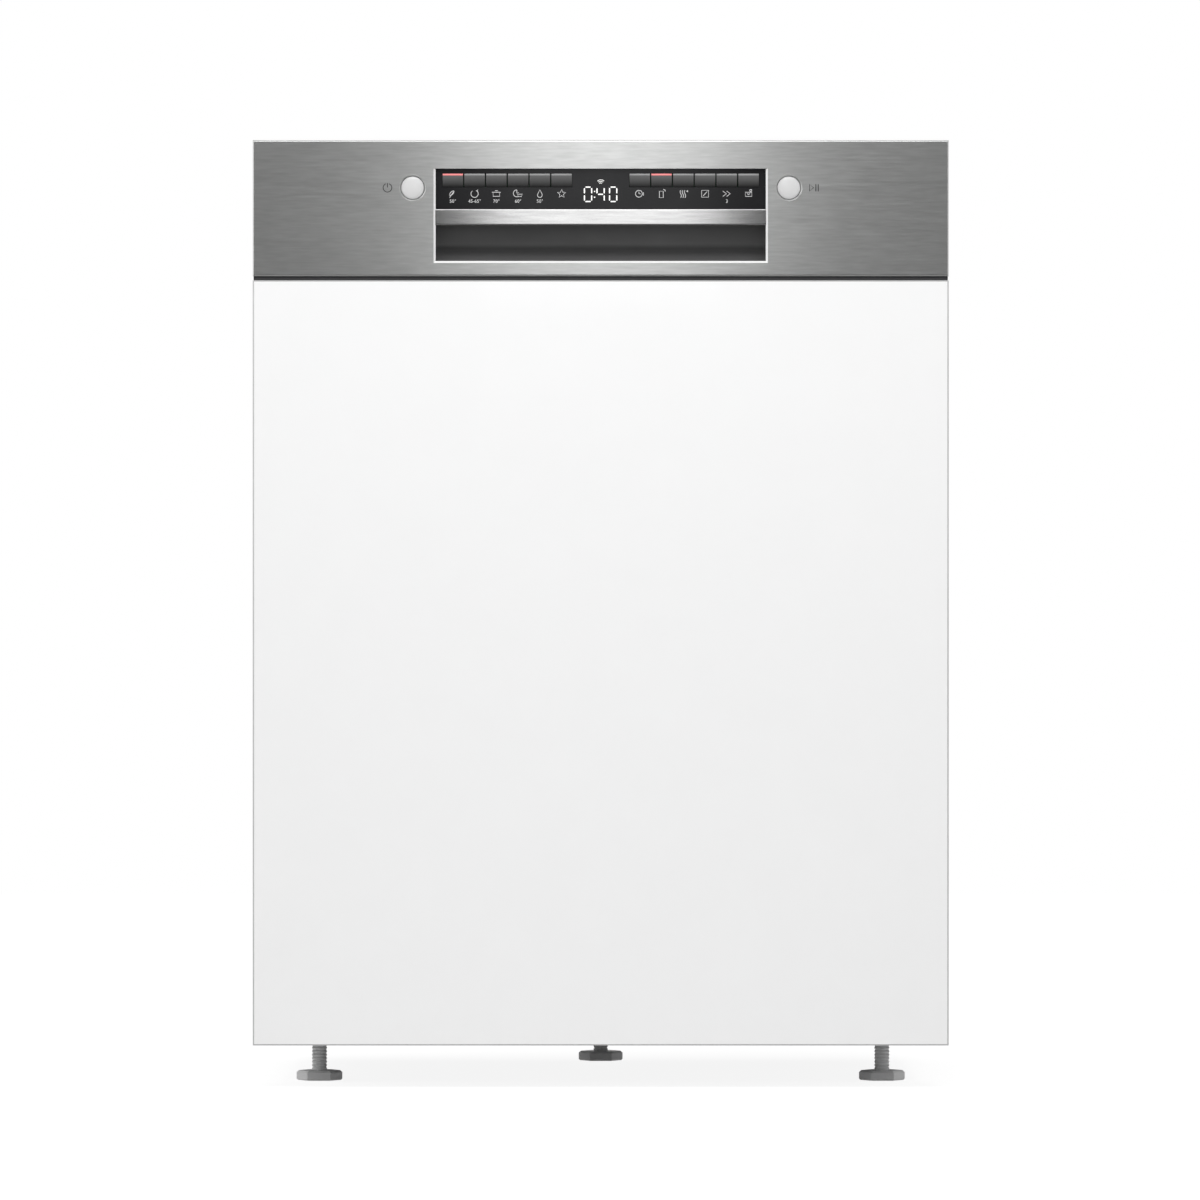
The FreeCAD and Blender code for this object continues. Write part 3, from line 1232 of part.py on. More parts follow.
def make_salt_cap():
    """The many-sided screw cap of the salt container, with a bar to turn it by."""
    piece = Piece("salt_cap")
    low = f"({FLOOR_IN} + sump_wall)"
    top = f"({low} + sump_wall * 3)"
    piece.pad("XY", low, top, flats("-salt_x", SALT_Y, "cap_radius", 12))
    plug = flats("-salt_x", SALT_Y, "(cap_radius - sump_wall * 2 - arm_clearance * 2)", 12)
    piece.pad("XY", f"{low} - sump_wall * 3", low, plug)
    ends = ("-salt_x - cap_radius * 0.8", "-salt_x + cap_radius * 0.8")
    grip = rectangle(*ends, f"{SALT_Y} - sump_wall", f"{SALT_Y} + sump_wall")
    piece.pad("XY", top, f"{top} + sump_wall * 2", grip)


def make_spray_riser():
    """The flat duct up the back wall and along the ceiling, ending in the ceiling sprinkler."""
    piece = Piece("spray_riser")
    lip = f"({AXIS_Y} - duct_width)"
    under = f"({CEILING_IN} - duct_depth)"
    profile = polygon(
        (DUCT_FRONT, FLOOR_IN),
        (BACK_IN, FLOOR_IN),
        (BACK_IN, CEILING_IN),
        (lip, CEILING_IN),
        (lip, f"{CEILING_IN} - duct_depth / 2"),
        (AXIS_Y, under),
        (DUCT_FRONT, under),
    )
    piece.pad("YZ", "-duct_width / 2", "duct_width / 2", profile)
    piece.chamfer("duct_depth / 4", both(along("z"), flat(y=DUCT_FRONT)))
    rose = f"({under} - duct_depth / 2)"
    piece.pad("XY", rose, under, flats("0", AXIS_Y, "riser_radius", 12))
    port = flats("0", f"{DUCT_LOW} + duct_depth / 2", "nipple_radius / 2", 8)
    piece.pocket("XZ", DUCT_FRONT, BACK_IN, port)


def spray_slot(x, y):
    return rectangle(f"{x} - nozzle", f"{x} + nozzle", f"{y} - nozzle * 2", f"{y} + nozzle * 2")


def make_spray_arm(label, low, reach, bearing, feeds_from_below):
    """A long blade on a round hub, with a row of spray slots along each half."""
    piece = Piece(label)
    top = f"({low} + arm_thickness)"
    blade_low = f"({low} + arm_thickness / 4)"
    outline = polygon(
        (f"-{reach}", f"{AXIS_Y} - arm_tip / 2"),
        ("0", f"{AXIS_Y} - arm_width / 2"),
        (reach, f"{AXIS_Y} - arm_tip / 2"),
        (reach, f"{AXIS_Y} + arm_tip / 2"),
        ("0", f"{AXIS_Y} + arm_width / 2"),
        (f"-{reach}", f"{AXIS_Y} + arm_tip / 2"),
    )
    piece.pad("XY", blade_low, top, outline)
    ends = either(flat(x=reach), flat(x=f"-{reach}"))
    piece.chamfer("arm_tip / 3", both(along("z"), ends))
    piece.chamfer("arm_thickness / 4", flat(z=top))
    piece.pad("XY", low, top, flats("0", AXIS_Y, "arm_width / 2", 12))
    if feeds_from_below:
        piece.pocket("XY", low, f"{top} - sump_wall / 2", circle("0", AXIS_Y, bearing))
    else:
        piece.pocket("XY", f"{low} + sump_wall / 2", top, circle("0", AXIS_Y, bearing))
    step = f"({reach} / 6)"
    holes = [
        spray_slot(f"{way}{step} * {number}", f"{AXIS_Y} {way or '+'} arm_tip / 8")
        for number in range(2, 6)
        for way in ("-", "")
    ]
    piece.pocket("XY", f"{top} - arm_thickness / 2", top, *holes)


def make_upper_spray_duct():
    """The flat duct under the upper rack, from the riser to the bearing of the upper spray arm."""
    piece = Piece("upper_spray_duct")
    end = f"({AXIS_Y} - duct_width)"
    piece.pad("XY", DUCT_LOW, DUCT_TOP, rectangle("-duct_width / 2", "duct_width / 2", end, DUCT_FRONT))
    piece.chamfer("duct_width / 4", both(along("z"), flat(y=end)))
    collar = f"({UPPER_ARM} + arm_thickness)"
    piece.pad("XY", collar, DUCT_LOW, flats("0", AXIS_Y, "riser_radius", 12))
    piece.pad("XY", f"{UPPER_ARM} + sump_wall", collar, circle("0", AXIS_Y, "nipple_radius"))


def make_water_connections():
    """The threaded water inlet and the drain spigot at the back of the base."""
    piece = Piece("water_connections")
    level = f"({TUB_FLOOR} - sump_depth * 2 / 3)"
    out = f"({TUB_BACK} + spigot_reach)"
    back = f"({TUB_BACK} - base_wall)"
    nut = "(inlet_radius * 1.4)"
    piece.pad("XZ", TUB_BACK, f"{TUB_BACK} + base_wall", flats("salt_x", level, nut, 6))
    piece.pad("XZ", TUB_BACK, out, circle("salt_x", level, "inlet_radius"))
    piece.pocket("XZ", f"{TUB_BACK} + base_wall", out, flats("salt_x", level, "inlet_radius * 0.7", 8))
    piece.pad("XZ", TUB_BACK, f"{TUB_BACK} + base_wall", flats("-salt_x", level, nut, 6))
    piece.pad("XZ", TUB_BACK, out, circle("-salt_x", level, "spigot_radius"))
    piece.pocket("XZ", f"{TUB_BACK} + base_wall", out, flats("-salt_x", level, "spigot_radius * 0.7", 8))


def make_rack_rails():
    """The two channels on the tub's walls that the upper rack's wheels run in."""
    piece = Piece("rack_rails")
    middle = f"(({UPPER_FLOOR} + {UPPER_RIM}) / 2)"
    low = f"({middle} - rail_height / 2)"
    high = f"({middle} + rail_height / 2)"
    inside = f"({WALL_IN} - rail_depth)"
    channel = polygon(
        (WALL_IN, low),
        (WALL_IN, high),
        (inside, high),
        (inside, f"{high} - rail_height / 5"),
        (f"{inside} + rail_wall", f"{high} - rail_height / 5"),
        (f"{inside} + rail_wall", f"{high} - rail_wall"),
        (f"{WALL_IN} - rail_wall", f"{high} - rail_wall"),
        (f"{WALL_IN} - rail_wall", f"{low} + rail_wall"),
        (f"{inside} + rail_wall", f"{low} + rail_wall"),
        (f"{inside} + rail_wall", f"{low} + rail_height / 5"),
        (inside, f"{low} + rail_height / 5"),
        (inside, low),
    )
    piece.mirror([piece.pad("XZ", RACK_FRONT, RACK_BACK, channel)])


# Racks, bent and welded from square wire
def block(x, y, z):
    """A box between the ends of three ranges."""
    size = (x[1] - x[0], y[1] - y[0], z[1] - z[0])
    return Part.makeBox(*size, Vector(x[0], y[0], z[0]))


def flat_rod(x, y, z, inside, fits_in=False):
    """A rod along Y with flat sides, or the hole that lets a rod of that radius turn in it."""
    count = 12
    radius = inside / math.cos(math.pi / count) if fits_in else inside
    turns = [2 * math.pi * index / count for index in range(count + 1)]
    corners = [Vector(x + radius * math.cos(turn), y[0], z + radius * math.sin(turn)) for turn in turns]
    return Part.Face(Part.makePolygon(corners)).extrude(Vector(0, y[1] - y[0], 0))


def wire_section(centre, direction):
    """The square section of a wire across its first run."""
    half = value("wire") / 2
    across = Vector(0, 0, 1) if abs(direction.z) < 0.5 else Vector(0, 1, 0)
    beside = direction.cross(across)
    turns = ((half, half), (-half, half), (-half, -half), (half, -half))
    spots = [centre + across * x + beside * y for x, y in turns]
    return Part.makePolygon(spots + spots[:1])


def bent_wire(points):
    """A wire with mitred bends through the points; its first run lies along an axis."""
    spots = [Vector(*point) for point in points]
    direction = (spots[1] - spots[0]).normalize()
    section = wire_section(spots[0], direction)
    if len(spots) == 2:
        return Part.Face(section).extrude(spots[1] - spots[0])
    right_corners = 1
    return Part.makePolygon(spots).makePipeShell([section], True, False, right_corners)


def spread(low, high, count):
    """Evenly spaced places, the first and the last included."""
    return [low + (high - low) * index / (count - 1) for index in range(count)]


class Rack:
    """The wires of one rack: cross wires over lengthwise wires, with rings outside their ends."""

    def __init__(self, side, floor, rim, cross_count, length_count):
        self.w = value("wire")
        self.side = value(side)
        self.floor = value(floor)
        self.rim = value(rim)
        self.front = value(RACK_FRONT)
        self.back = value(RACK_BACK)
        self.bend = value("wire_bend")
        self.cross_level = self.floor + self.w * 1.5
        self.top = self.cross_level + self.w / 2
        self.leg_x = self.side - self.w * 1.5
        start = self.w * 2.5 + self.bend
        self.cross_places = spread(self.front + start, self.back - start, cross_count)
        reach = self.leg_x - self.bend - self.w
        self.length_places = spread(-reach, reach, length_count)

    def cross_wire(self, y):
        x, low, b = self.leg_x, self.cross_level, self.bend
        half = [(x, y, self.rim), (x, y, low + b), (x - b, y, low)]
        return bent_wire(half + [(-x, y, z) for x, y, z in reversed(half)])

    def length_wire(self, x):
        low, b, inset = self.floor + self.w / 2, self.bend, self.w * 1.5
        front, back = self.front + inset, self.back - inset
        ends = [(x, front, self.rim), (x, front, low + b), (x, front + b, low)]
        ends += [(x, back - b, low), (x, back, low + b), (x, back, self.rim)]
        return bent_wire(ends)

    def ring(self, z):
        levels = (z - self.w / 2, z + self.w / 2)
        outer = block((-self.side, self.side), (self.front, self.back), levels)
        x, front, back = self.side - self.w, self.front + self.w, self.back - self.w
        return outer.cut(block((-x, x), (front, back), levels))

    def tine(self, x, y, height):
        return bent_wire([(x, y, self.top), (x, y, self.top + height)])

    def wires(self, ring_heights):
        made = [self.cross_wire(y) for y in self.cross_places]
        made += [self.length_wire(x) for x in self.length_places]
        return made + [self.ring(z) for z in ring_heights]


def together(label, shapes):
    """One piece of the shapes, which touch where the real ones are welded."""
    piece = doc.addObject("Part::Feature", label)
    piece.Shape = Part.makeCompound(shapes)


LOWER_CROSS_COUNT = 8
UPPER_CROSS_COUNT = 7
LENGTH_COUNT = 5


def lower_rack_wires():
    return Rack(LOWER_RACK_SIDE, LOWER_FLOOR, LOWER_RIM, LOWER_CROSS_COUNT, LENGTH_COUNT)


def upper_rack_wires():
    return Rack(UPPER_RACK_SIDE, UPPER_FLOOR, UPPER_RIM, UPPER_CROSS_COUNT, LENGTH_COUNT)


def make_lower_rack():
    """The lower rack, with a fixed row of plate tines and two eyes for the folding row."""
    rack = lower_rack_wires()
    height = value("tine_height")
    wires = rack.wires([rack.rim - rack.w / 2, (rack.floor + rack.rim) / 2])
    wires += [rack.tine(rack.length_places[1], y, height) for y in rack.cross_places[1:-1]]
    hole = rack.w / 2 + value("pin_clearance")
    x = rack.length_places[2]
    for y in (rack.cross_places[0], rack.cross_places[-1]):
        ends = (y - rack.w / 2, y + rack.w / 2)
        eye = block((x - rack.w, x + rack.w), ends, (rack.top, rack.top + rack.w * 2))
        wires.append(eye.cut(flat_rod(x, ends, rack.top + rack.w, hole, fits_in=True)))
    together("lower_rack", wires)


def make_folding_tines():
    """The row of plate tines that folds flat, on a rod whose ends turn in the lower rack's eyes."""
    rack = lower_rack_wires()
    x, level = rack.length_places[2], rack.top + rack.w
    front, back = rack.cross_places[0], rack.cross_places[-1]
    half = rack.w / 2
    shapes = [block((x - half, x + half), (front + rack.w, back - rack.w), (level - half, level + half))]
    shapes += [flat_rod(x, (y - rack.w, y + rack.w), level, half) for y in (front, back)]
    top = level + value("tine_height")
    shapes += [bent_wire([(x, y, level + half), (x, y, top)]) for y in rack.cross_places[1:-1]]
    together("folding_tines", shapes)


def make_upper_rack():
    """The upper rack, with a row of short tines and a rod for the cup shelf."""
    rack = upper_rack_wires()
    wires = rack.wires([rack.rim - rack.w / 2, (rack.floor + rack.rim) / 2])
    height = value("tine_height") * 0.6
    wires += [rack.tine(rack.length_places[3], y, height) for y in rack.cross_places[1:-1]]
    x, level = shelf_axis(rack)
    front, back = rack.cross_places[1], rack.cross_places[-2]
    radius = rack.w / 2
    wires.append(flat_rod(x, (front, back), level, radius))
    leg = -rack.leg_x + radius
    for y in ((front - radius, front), (back, back + radius)):
        wires.append(block((leg, x + radius), y, (level - radius, level + radius)))
    together("upper_rack", wires)


def shelf_axis(rack):
    """Where the cup shelf turns: beside the left legs of the upper rack, near its rim."""
    return -rack.leg_x + rack.w * 2.5, rack.rim - rack.w * 8


def make_cup_shelf():
    """The moulded cup shelf that folds up against the left side of the upper rack."""
    rack = upper_rack_wires()
    x, level = shelf_axis(rack)
    gap = value("foot_clearance")
    width = value("shelf_width")
    half = value("basket_wall") / 2
    start, end = rack.cross_places[1] + gap, rack.cross_places[-2] - gap
    barrel = flat_rod(x, (start, end), level, rack.w)
    plate = block((x, x + width), (start, end), (level - half, level + half))
    hole = flat_rod(x, (start, end), level, rack.w / 2 + value("pin_clearance"), fits_in=True)
    slot_count = 4
    pitch = (end - start) / slot_count
    sides = (x + width * 0.3, x + width * 0.8)
    middles = [start + pitch * (index + 0.5) for index in range(slot_count)]
    slots = [block(sides, (y - pitch / 4, y + pitch / 4), (level - half, level + half)) for y in middles]
    piece = doc.addObject("Part::Feature", "cup_shelf")
    piece.Shape = barrel.fuse(plate).cut(Part.makeCompound([hole] + slots))


def make_rack_wheels():
    """The lower rack's four wheels on their brackets, and the upper rack's four runners."""
    made = []
    radius, width = value("wheel_radius"), value("wheel_width")
    lower = lower_rack_wires()
    level = value(LEDGE) + value("sheet") + radius
    side, plate = lower.side, lower.w
    for y in (lower.cross_places[1], lower.cross_places[-2]):
        bracket = block(
            (side - plate, side + plate), (y - plate, y + plate), (level - plate, lower.floor + plate * 6)
        )
        disc = Part.makeCylinder(radius, width, Vector(side + plate, y, level), Vector(1, 0, 0))
        made.append(bracket.fuse(disc))
    upper = upper_rack_wires()
    gap = value("foot_clearance")
    half = value("rail_height / 2 - rail_wall") - gap
    middle = (upper.floor + upper.rim) / 2
    rail_in = value(f"{WALL_IN} - rail_wall") - gap
    for y in (upper.cross_places[1], upper.cross_places[-2]):
        ends = (y - radius, y + radius)
        runner = block((rail_in - width, rail_in), ends, (middle - half, middle + half))
        neck = block((upper.side, rail_in - width), ends, (middle - width / 2, middle + width / 2))
        made.append(runner.fuse(neck))
    left = [shape.mirror(Vector(0, 0, 0), Vector(1, 0, 0)) for shape in made]
    together("rack_wheels", made + left)


def make_cutlery_basket():
    """The moulded cutlery basket, slotted along its sides, with a grip across its middle."""
    piece = Piece("cutlery_basket")
    floor = f"({LOWER_FLOOR} + wire * 2)"
    top = f"({floor} + basket_height)"
    right = f"({LOWER_RACK_SIDE} - wire * 2.5 - wire_bend)"
    left = f"({right} - basket_width)"
    front = f"({RACK_FRONT} + wire_bend * 2)"
    back = f"({front} + basket_length)"
    piece.pad("XY", floor, top, rectangle(left, right, front, back))
    piece.chamfer("basket_wall * 4", along("z"))
    piece.shell("basket_wall", flat(z=top))
    middle = f"(({front} + {back}) / 2)"
    wall = rectangle(left, right, f"{middle} - basket_wall / 2", f"{middle} + basket_wall / 2")
    piece.pad("XY", floor, top, wall)
    low = f"({floor} + basket_height * 0.12)"
    high = f"({floor} + basket_height * 0.8)"
    pitch = "(basket_length / 8)"
    middles = [f"{front} + {pitch} * {number}" for number in (1, 2, 3, 5, 6, 7)]
    slots = [rectangle(f"{y} - {pitch} / 4", f"{y} + {pitch} / 4", low, high) for y in middles]
    piece.pocket("YZ", left, right, *slots)
    grip = rectangle(f"{left} + basket_wall", f"{right} - basket_wall", top, f"{top} + basket_wall * 8")
    sides = (f"{left} + basket_wall * 6", f"{right} - basket_wall * 6")
    hole = rectangle(*sides, f"{top} + basket_wall", f"{top} + basket_wall * 6")
    piece.pad("XZ", f"{middle} - basket_wall / 2", f"{middle} + basket_wall / 2", grip, hole)


def twin(label, source):
    """A group of a body and its mirror image in the machine's middle plane."""
    image = doc.addObject("Part::Mirroring", f"{label}_image")
    image.Source = source
    image.Normal = Vector(1, 0, 0)
    pair = doc.addObject("Part::Compound", label)
    pair.Links = [source, image]
    return pair


def make_everything():
    make_fascia()
    make_display_cover()
    make_handle_bar()
    make_grip_pocket()
    make_control_housing()
    make_control_board()
    make_program_keys()
    make_round_button("power_button", f"-{BUTTON_X}")
    make_round_button("start_button", BUTTON_X)
    make_furniture_panel()
    make_outer_door()
    make_inner_door()
    make_door_latch()
    make_dispenser()
    make_dispenser_lid()
    make_rinse_aid_flap()
    make_door_bottom_seal()
    make_hinge_arms()
    make_door_hinges()
    make_latch_tongue()
    make_base_tray()
    make_foot("left_front_foot", "left")
    make_foot("right_front_foot", "right")
    make_foot("rear_foot", "rear")
    make_tub()
    make_door_seal()
    make_side_panels()
    make_rear_panel()
    make_tub_insulation()
    make_top_frame()
    make_kick_plate()
    make_sump()
    make_fine_filter()
    make_filter_cylinder()
    make_pumps()
    make_water_softener()
    make_salt_cap()
    make_spray_riser()
    bearing = "nipple_radius + arm_clearance"
    make_spray_arm("lower_spray_arm", LOWER_ARM, LOWER_REACH, bearing, True)
    make_spray_arm("upper_spray_arm", UPPER_ARM, UPPER_REACH, bearing, False)
    make_upper_spray_duct()
    make_water_connections()
    make_rack_rails()
    make_lower_rack()
    make_upper_rack()
    make_folding_tines()
    make_cup_shelf()
    make_rack_wheels()
    make_cutlery_basket()


def pieces():
    """What is exported: every object that isn't an ingredient of another one."""
    kinds = ("PartDesign::Body", "Part::Feature", "Part::Compound")
    return [thing for thing in doc.Objects if thing.TypeId in kinds and thing.Label not in INGREDIENTS]


def export_pieces():
    """Checks every object, then writes one STEP file for each piece."""
    doc.recompute()
    for thing in doc.Objects:
        if "Invalid" in thing.State or "Error" in thing.State:
            raise RuntimeError(f"{thing.Name} is {thing.State}")
    for piece in pieces():
        if piece.Shape.isNull() or not piece.Shape.isValid():
            raise RuntimeError(f"{piece.Label} has no valid shape")
    os.makedirs("parts", exist_ok=True)
    for piece in pieces():
        piece.Shape.exportStep(f"parts/{piece.Label}.step")


INGREDIENTS = ("right_side_panel",)
make_everything()
export_pieces()
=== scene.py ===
import math

import bmesh
import bpy
from mathutils import Matrix, Quaternion, Vector


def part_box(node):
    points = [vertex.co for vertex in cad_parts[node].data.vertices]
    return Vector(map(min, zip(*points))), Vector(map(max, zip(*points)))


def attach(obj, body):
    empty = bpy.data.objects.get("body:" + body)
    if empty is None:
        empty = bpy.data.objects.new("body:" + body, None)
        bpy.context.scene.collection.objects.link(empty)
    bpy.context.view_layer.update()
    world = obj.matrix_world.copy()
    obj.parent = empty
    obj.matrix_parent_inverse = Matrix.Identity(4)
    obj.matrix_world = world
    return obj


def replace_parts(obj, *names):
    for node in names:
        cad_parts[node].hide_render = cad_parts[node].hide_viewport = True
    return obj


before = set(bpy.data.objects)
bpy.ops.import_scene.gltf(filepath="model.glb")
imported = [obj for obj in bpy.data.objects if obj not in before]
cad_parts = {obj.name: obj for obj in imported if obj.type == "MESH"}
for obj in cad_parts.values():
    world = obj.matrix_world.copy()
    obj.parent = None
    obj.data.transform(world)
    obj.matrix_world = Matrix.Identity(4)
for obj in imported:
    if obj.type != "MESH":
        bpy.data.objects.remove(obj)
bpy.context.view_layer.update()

MM = 0.001
SCENE = bpy.context.scene
SCENE.view_settings.view_transform = "Standard"


def box(node):
    """Lowest and highest corner of a CAD node."""
    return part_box(node)


def middle(node):
    low, high = box(node)
    return (low + high) / 2


# Materials. Every one is procedural: noise on the object's own coordinates, in metres.
class Finish:
    """A Principled material with helpers for the noise that drives it."""

    def __init__(self, name, color, roughness, metallic=0.0, **sockets):
        self.material = bpy.data.materials.new(name)
        self.material.use_nodes = True
        self.tree = self.material.node_tree
        self.shader = self.tree.nodes["Principled BSDF"]
        self.color = color
        self.shader.inputs["Base Color"].default_value = (*color, 1)
        self.shader.inputs["Roughness"].default_value = roughness
        self.shader.inputs["Metallic"].default_value = metallic
        for socket, number in sockets.items():
            self.shader.inputs[socket.replace("_", " ")].default_value = number
        self.coordinates = self.tree.nodes.new("ShaderNodeTexCoord").outputs["Object"]

    def link(self, output, target):
        self.tree.links.new(output, target)

    def noise(self, scale, stretch=(1, 1, 1), detail=3.0):
        """Noise with a number of lumps in each metre, stretched by axis."""
        mapping = self.tree.nodes.new("ShaderNodeMapping")
        mapping.inputs["Scale"].default_value = stretch
        texture = self.tree.nodes.new("ShaderNodeTexNoise")
        texture.inputs["Scale"].default_value = scale
        texture.inputs["Detail"].default_value = detail
        self.link(self.coordinates, mapping.inputs["Vector"])
        self.link(mapping.outputs["Vector"], texture.inputs["Vector"])
        return texture.outputs["Fac"]

    def ramp(self, source, low, high, start=0.3, end=0.7):
        """Two colours, or two numbers, across the middle of a noise."""
        ramp = self.tree.nodes.new("ShaderNodeValToRGB")
        for element, place, shade in zip(ramp.color_ramp.elements, (start, end), (low, high)):
            element.position = place
            element.color = (*shade, 1) if isinstance(shade, tuple) else (shade, shade, shade, 1)
        self.link(source, ramp.inputs["Fac"])
        return ramp.outputs["Color"]

    def tint(self, source, share):
        """Varies the base colour by a share up and down."""
        low = tuple(c * (1 - share) for c in self.color)
        high = tuple(min(1, c * (1 + share)) for c in self.color)
        self.link(self.ramp(source, low, high), self.shader.inputs["Base Color"])
        return self

    def rough(self, source, low, high):
        self.link(self.ramp(source, low, high), self.shader.inputs["Roughness"])
        return self

    def bump(self, source, height, strength=1.0):
        bump = self.tree.nodes.new("ShaderNodeBump")
        bump.inputs["Distance"].default_value = height
        bump.inputs["Strength"].default_value = strength
        self.link(source, bump.inputs["Height"])
        self.link(bump.outputs["Normal"], self.shader.inputs["Normal"])
        return self


def brushed(name, color, roughness, axis=0, anisotropy=0.6):
    """Steel with fine scratches along one axis, which spread its gloss across them."""
    finish = Finish(name, color, roughness, 1.0, Anisotropic=anisotropy, Anisotropic_Rotation=0.25)
    scratches = finish.noise(20, tuple(1 if index == axis else 120 for index in range(3)), 4)
    streaks = finish.noise(50, tuple(1 if index == axis else 9 for index in range(3)), 2)
    finish.tint(streaks, 0.075)
    finish.rough(scratches, roughness * 0.92, roughness * 1.08)
    finish.bump(scratches, 0.00002, 0.3)
    return finish.material


def moulded(name, color, roughness, grain=900, height=0.00004, clouds=0.04, **sockets):
    """Plastic with a fine moulded grain and faint clouds in its colour."""
    finish = Finish(name, color, roughness, **sockets)
    finish.tint(finish.noise(14, detail=4), clouds)
    finish.rough(finish.noise(35), roughness * 0.85, min(1, roughness * 1.15))
    finish.bump(finish.noise(grain), height, 0.4)
    return finish.material


def galvanised(name, color, roughness):
    """Zinc-coated sheet: faint crystals of slightly different greys."""
    finish = Finish(name, color, roughness, 1.0)
    tree = finish.tree
    shift = tree.nodes.new("ShaderNodeVectorMath")
    shift.operation = "MULTIPLY_ADD"
    shift.inputs[1].default_value = (0.02, 0.02, 0.02)
    texture = tree.nodes.new("ShaderNodeTexNoise")
    texture.inputs["Scale"].default_value = 40
    finish.link(finish.coordinates, texture.inputs["Vector"])
    finish.link(texture.outputs["Color"], shift.inputs[0])
    finish.link(finish.coordinates, shift.inputs[2])
    crystals = tree.nodes.new("ShaderNodeTexVoronoi")
    crystals.inputs["Scale"].default_value = 120
    finish.link(shift.outputs[0], crystals.inputs["Vector"])
    split = tree.nodes.new("ShaderNodeSeparateColor")
    finish.link(crystals.outputs["Color"], split.inputs[0])
    finish.tint(split.outputs["Red"], 0.03)
    finish.rough(split.outputs["Green"], roughness * 0.96, roughness * 1.04)
    finish.bump(finish.noise(500), 0.00002, 0.3)
    return finish.material


def perforated(name, color, roughness, pitch, hole):
    """Steel sheet with rows of round holes, drawn as near-black dots with a sunk edge: the dots are painted
    shade inside the holes.
    """
    finish = Finish(name, color, roughness, 1.0)
    tree = finish.tree
    cells = tree.nodes.new("ShaderNodeVectorMath")
    cells.operation = "MULTIPLY"
    cells.inputs[1].default_value = (1 / pitch, 1 / pitch, 0)
    inside = tree.nodes.new("ShaderNodeVectorMath")
    inside.operation = "FRACTION"
    offset = tree.nodes.new("ShaderNodeVectorMath")
    offset.operation = "DISTANCE"
    offset.inputs[1].default_value = (0.5, 0.5, 0)
    finish.link(finish.coordinates, cells.inputs[0])
    finish.link(cells.outputs[0], inside.inputs[0])
    finish.link(inside.outputs[0], offset.inputs[0])
    edge = hole / pitch / 2
    # Painted shade: the holes are near-black dots in the colour.
    dark = tuple(c * 0.04 for c in color)
    shade = finish.ramp(offset.outputs["Value"], dark, color, edge * 0.9, edge * 1.1)
    finish.link(shade, finish.shader.inputs["Base Color"])
    finish.rough(finish.noise(60), roughness * 0.85, roughness * 1.15)
    depth = finish.ramp(offset.outputs["Value"], 0.0, 1.0, edge * 0.8, edge * 1.2)
    finish.bump(depth, 0.0003, 0.6)
    return finish.material


def painted_light_graded(name, dark, pale, low, high, roughness):
    """Smoked plastic with painted light and shade: it pales upwards between two heights, lighter at the top
    and darker at the bottom.
    """
    finish = Finish(name, pale, roughness)
    mapping = finish.tree.nodes.new("ShaderNodeMapRange")
    split = finish.tree.nodes.new("ShaderNodeSeparateXYZ")
    finish.link(finish.coordinates, split.inputs[0])
    finish.link(split.outputs["Z"], mapping.inputs["Value"])
    mapping.inputs["From Min"].default_value = low
    mapping.inputs["From Max"].default_value = high
    finish.link(finish.ramp(mapping.outputs[0], dark, pale, 0.0, 1.0), finish.shader.inputs["Base Color"])
    finish.bump(finish.noise(900), 0.00002, 0.3)
    return finish.material


def glowing(name, color, strength):
    """A lit legend or lamp: light fills it unevenly from below."""
    finish = Finish(name, color, 0.35)
    finish.tint(finish.noise(400), 0.05)
    finish.shader.inputs["Emission Color"].default_value = (*color, 1)
    finish.shader.inputs["Emission Strength"].default_value = strength
    return finish.material


FASCIA_STEEL = brushed("fascia_steel", (0.48, 0.485, 0.48), 0.31, anisotropy=0.75)
BAR_STEEL = brushed("bar_steel", (0.37, 0.37, 0.37), 0.14, anisotropy=0.3)
TUB_STEEL = brushed("tub_steel", (0.60, 0.60, 0.60), 0.32)
DOOR_STEEL = brushed("door_steel", (0.60, 0.60, 0.60), 0.34)
ZINC = galvanised("zinc_steel", (0.50, 0.51, 0.52), 0.46)
HINGE_STEEL = brushed("hinge_steel", (0.42, 0.42, 0.43), 0.4, axis=2, anisotropy=0.2)
STRAINER_STEEL = perforated("strainer_steel", (0.55, 0.55, 0.56), 0.35, 3 * MM, 1.5 * MM)
LACQUER = moulded(
    "white_lacquer", (0.92, 0.92, 0.92), 0.35, grain=300, height=0.00002, clouds=0.004, Coat_Weight=0.15
)
# Mid grey for the white panel's edge band: a painted shade line round the panel.
PANEL_EDGE_SHADE = moulded("panel_edge_shade", (0.5, 0.5, 0.5), 0.4, grain=300, height=0.00002)
GLOSS_BLACK = moulded("display_black", (0.012, 0.012, 0.013), 0.16, 200, 0.00001, Specular_IOR_Level=0.15)
KEY_ENDS = [corner.z for corner in box("program_key_1")]
# Each key is painted paler at its top and darker towards its bottom: painted light and shade.
KEY_PAINTED_LIGHT = painted_light_graded("key_painted_light", (0.006, 0.006, 0.006), (0.16, 0.16, 0.16), *KEY_ENDS, 0.4)
# Near-white for the bevel round the window: a painted highlight on its edge.
PAINTED_HIGHLIGHT_EDGE = moulded("painted_highlight_edge", (0.88, 0.88, 0.88), 0.3, grain=2500, height=0.00001)
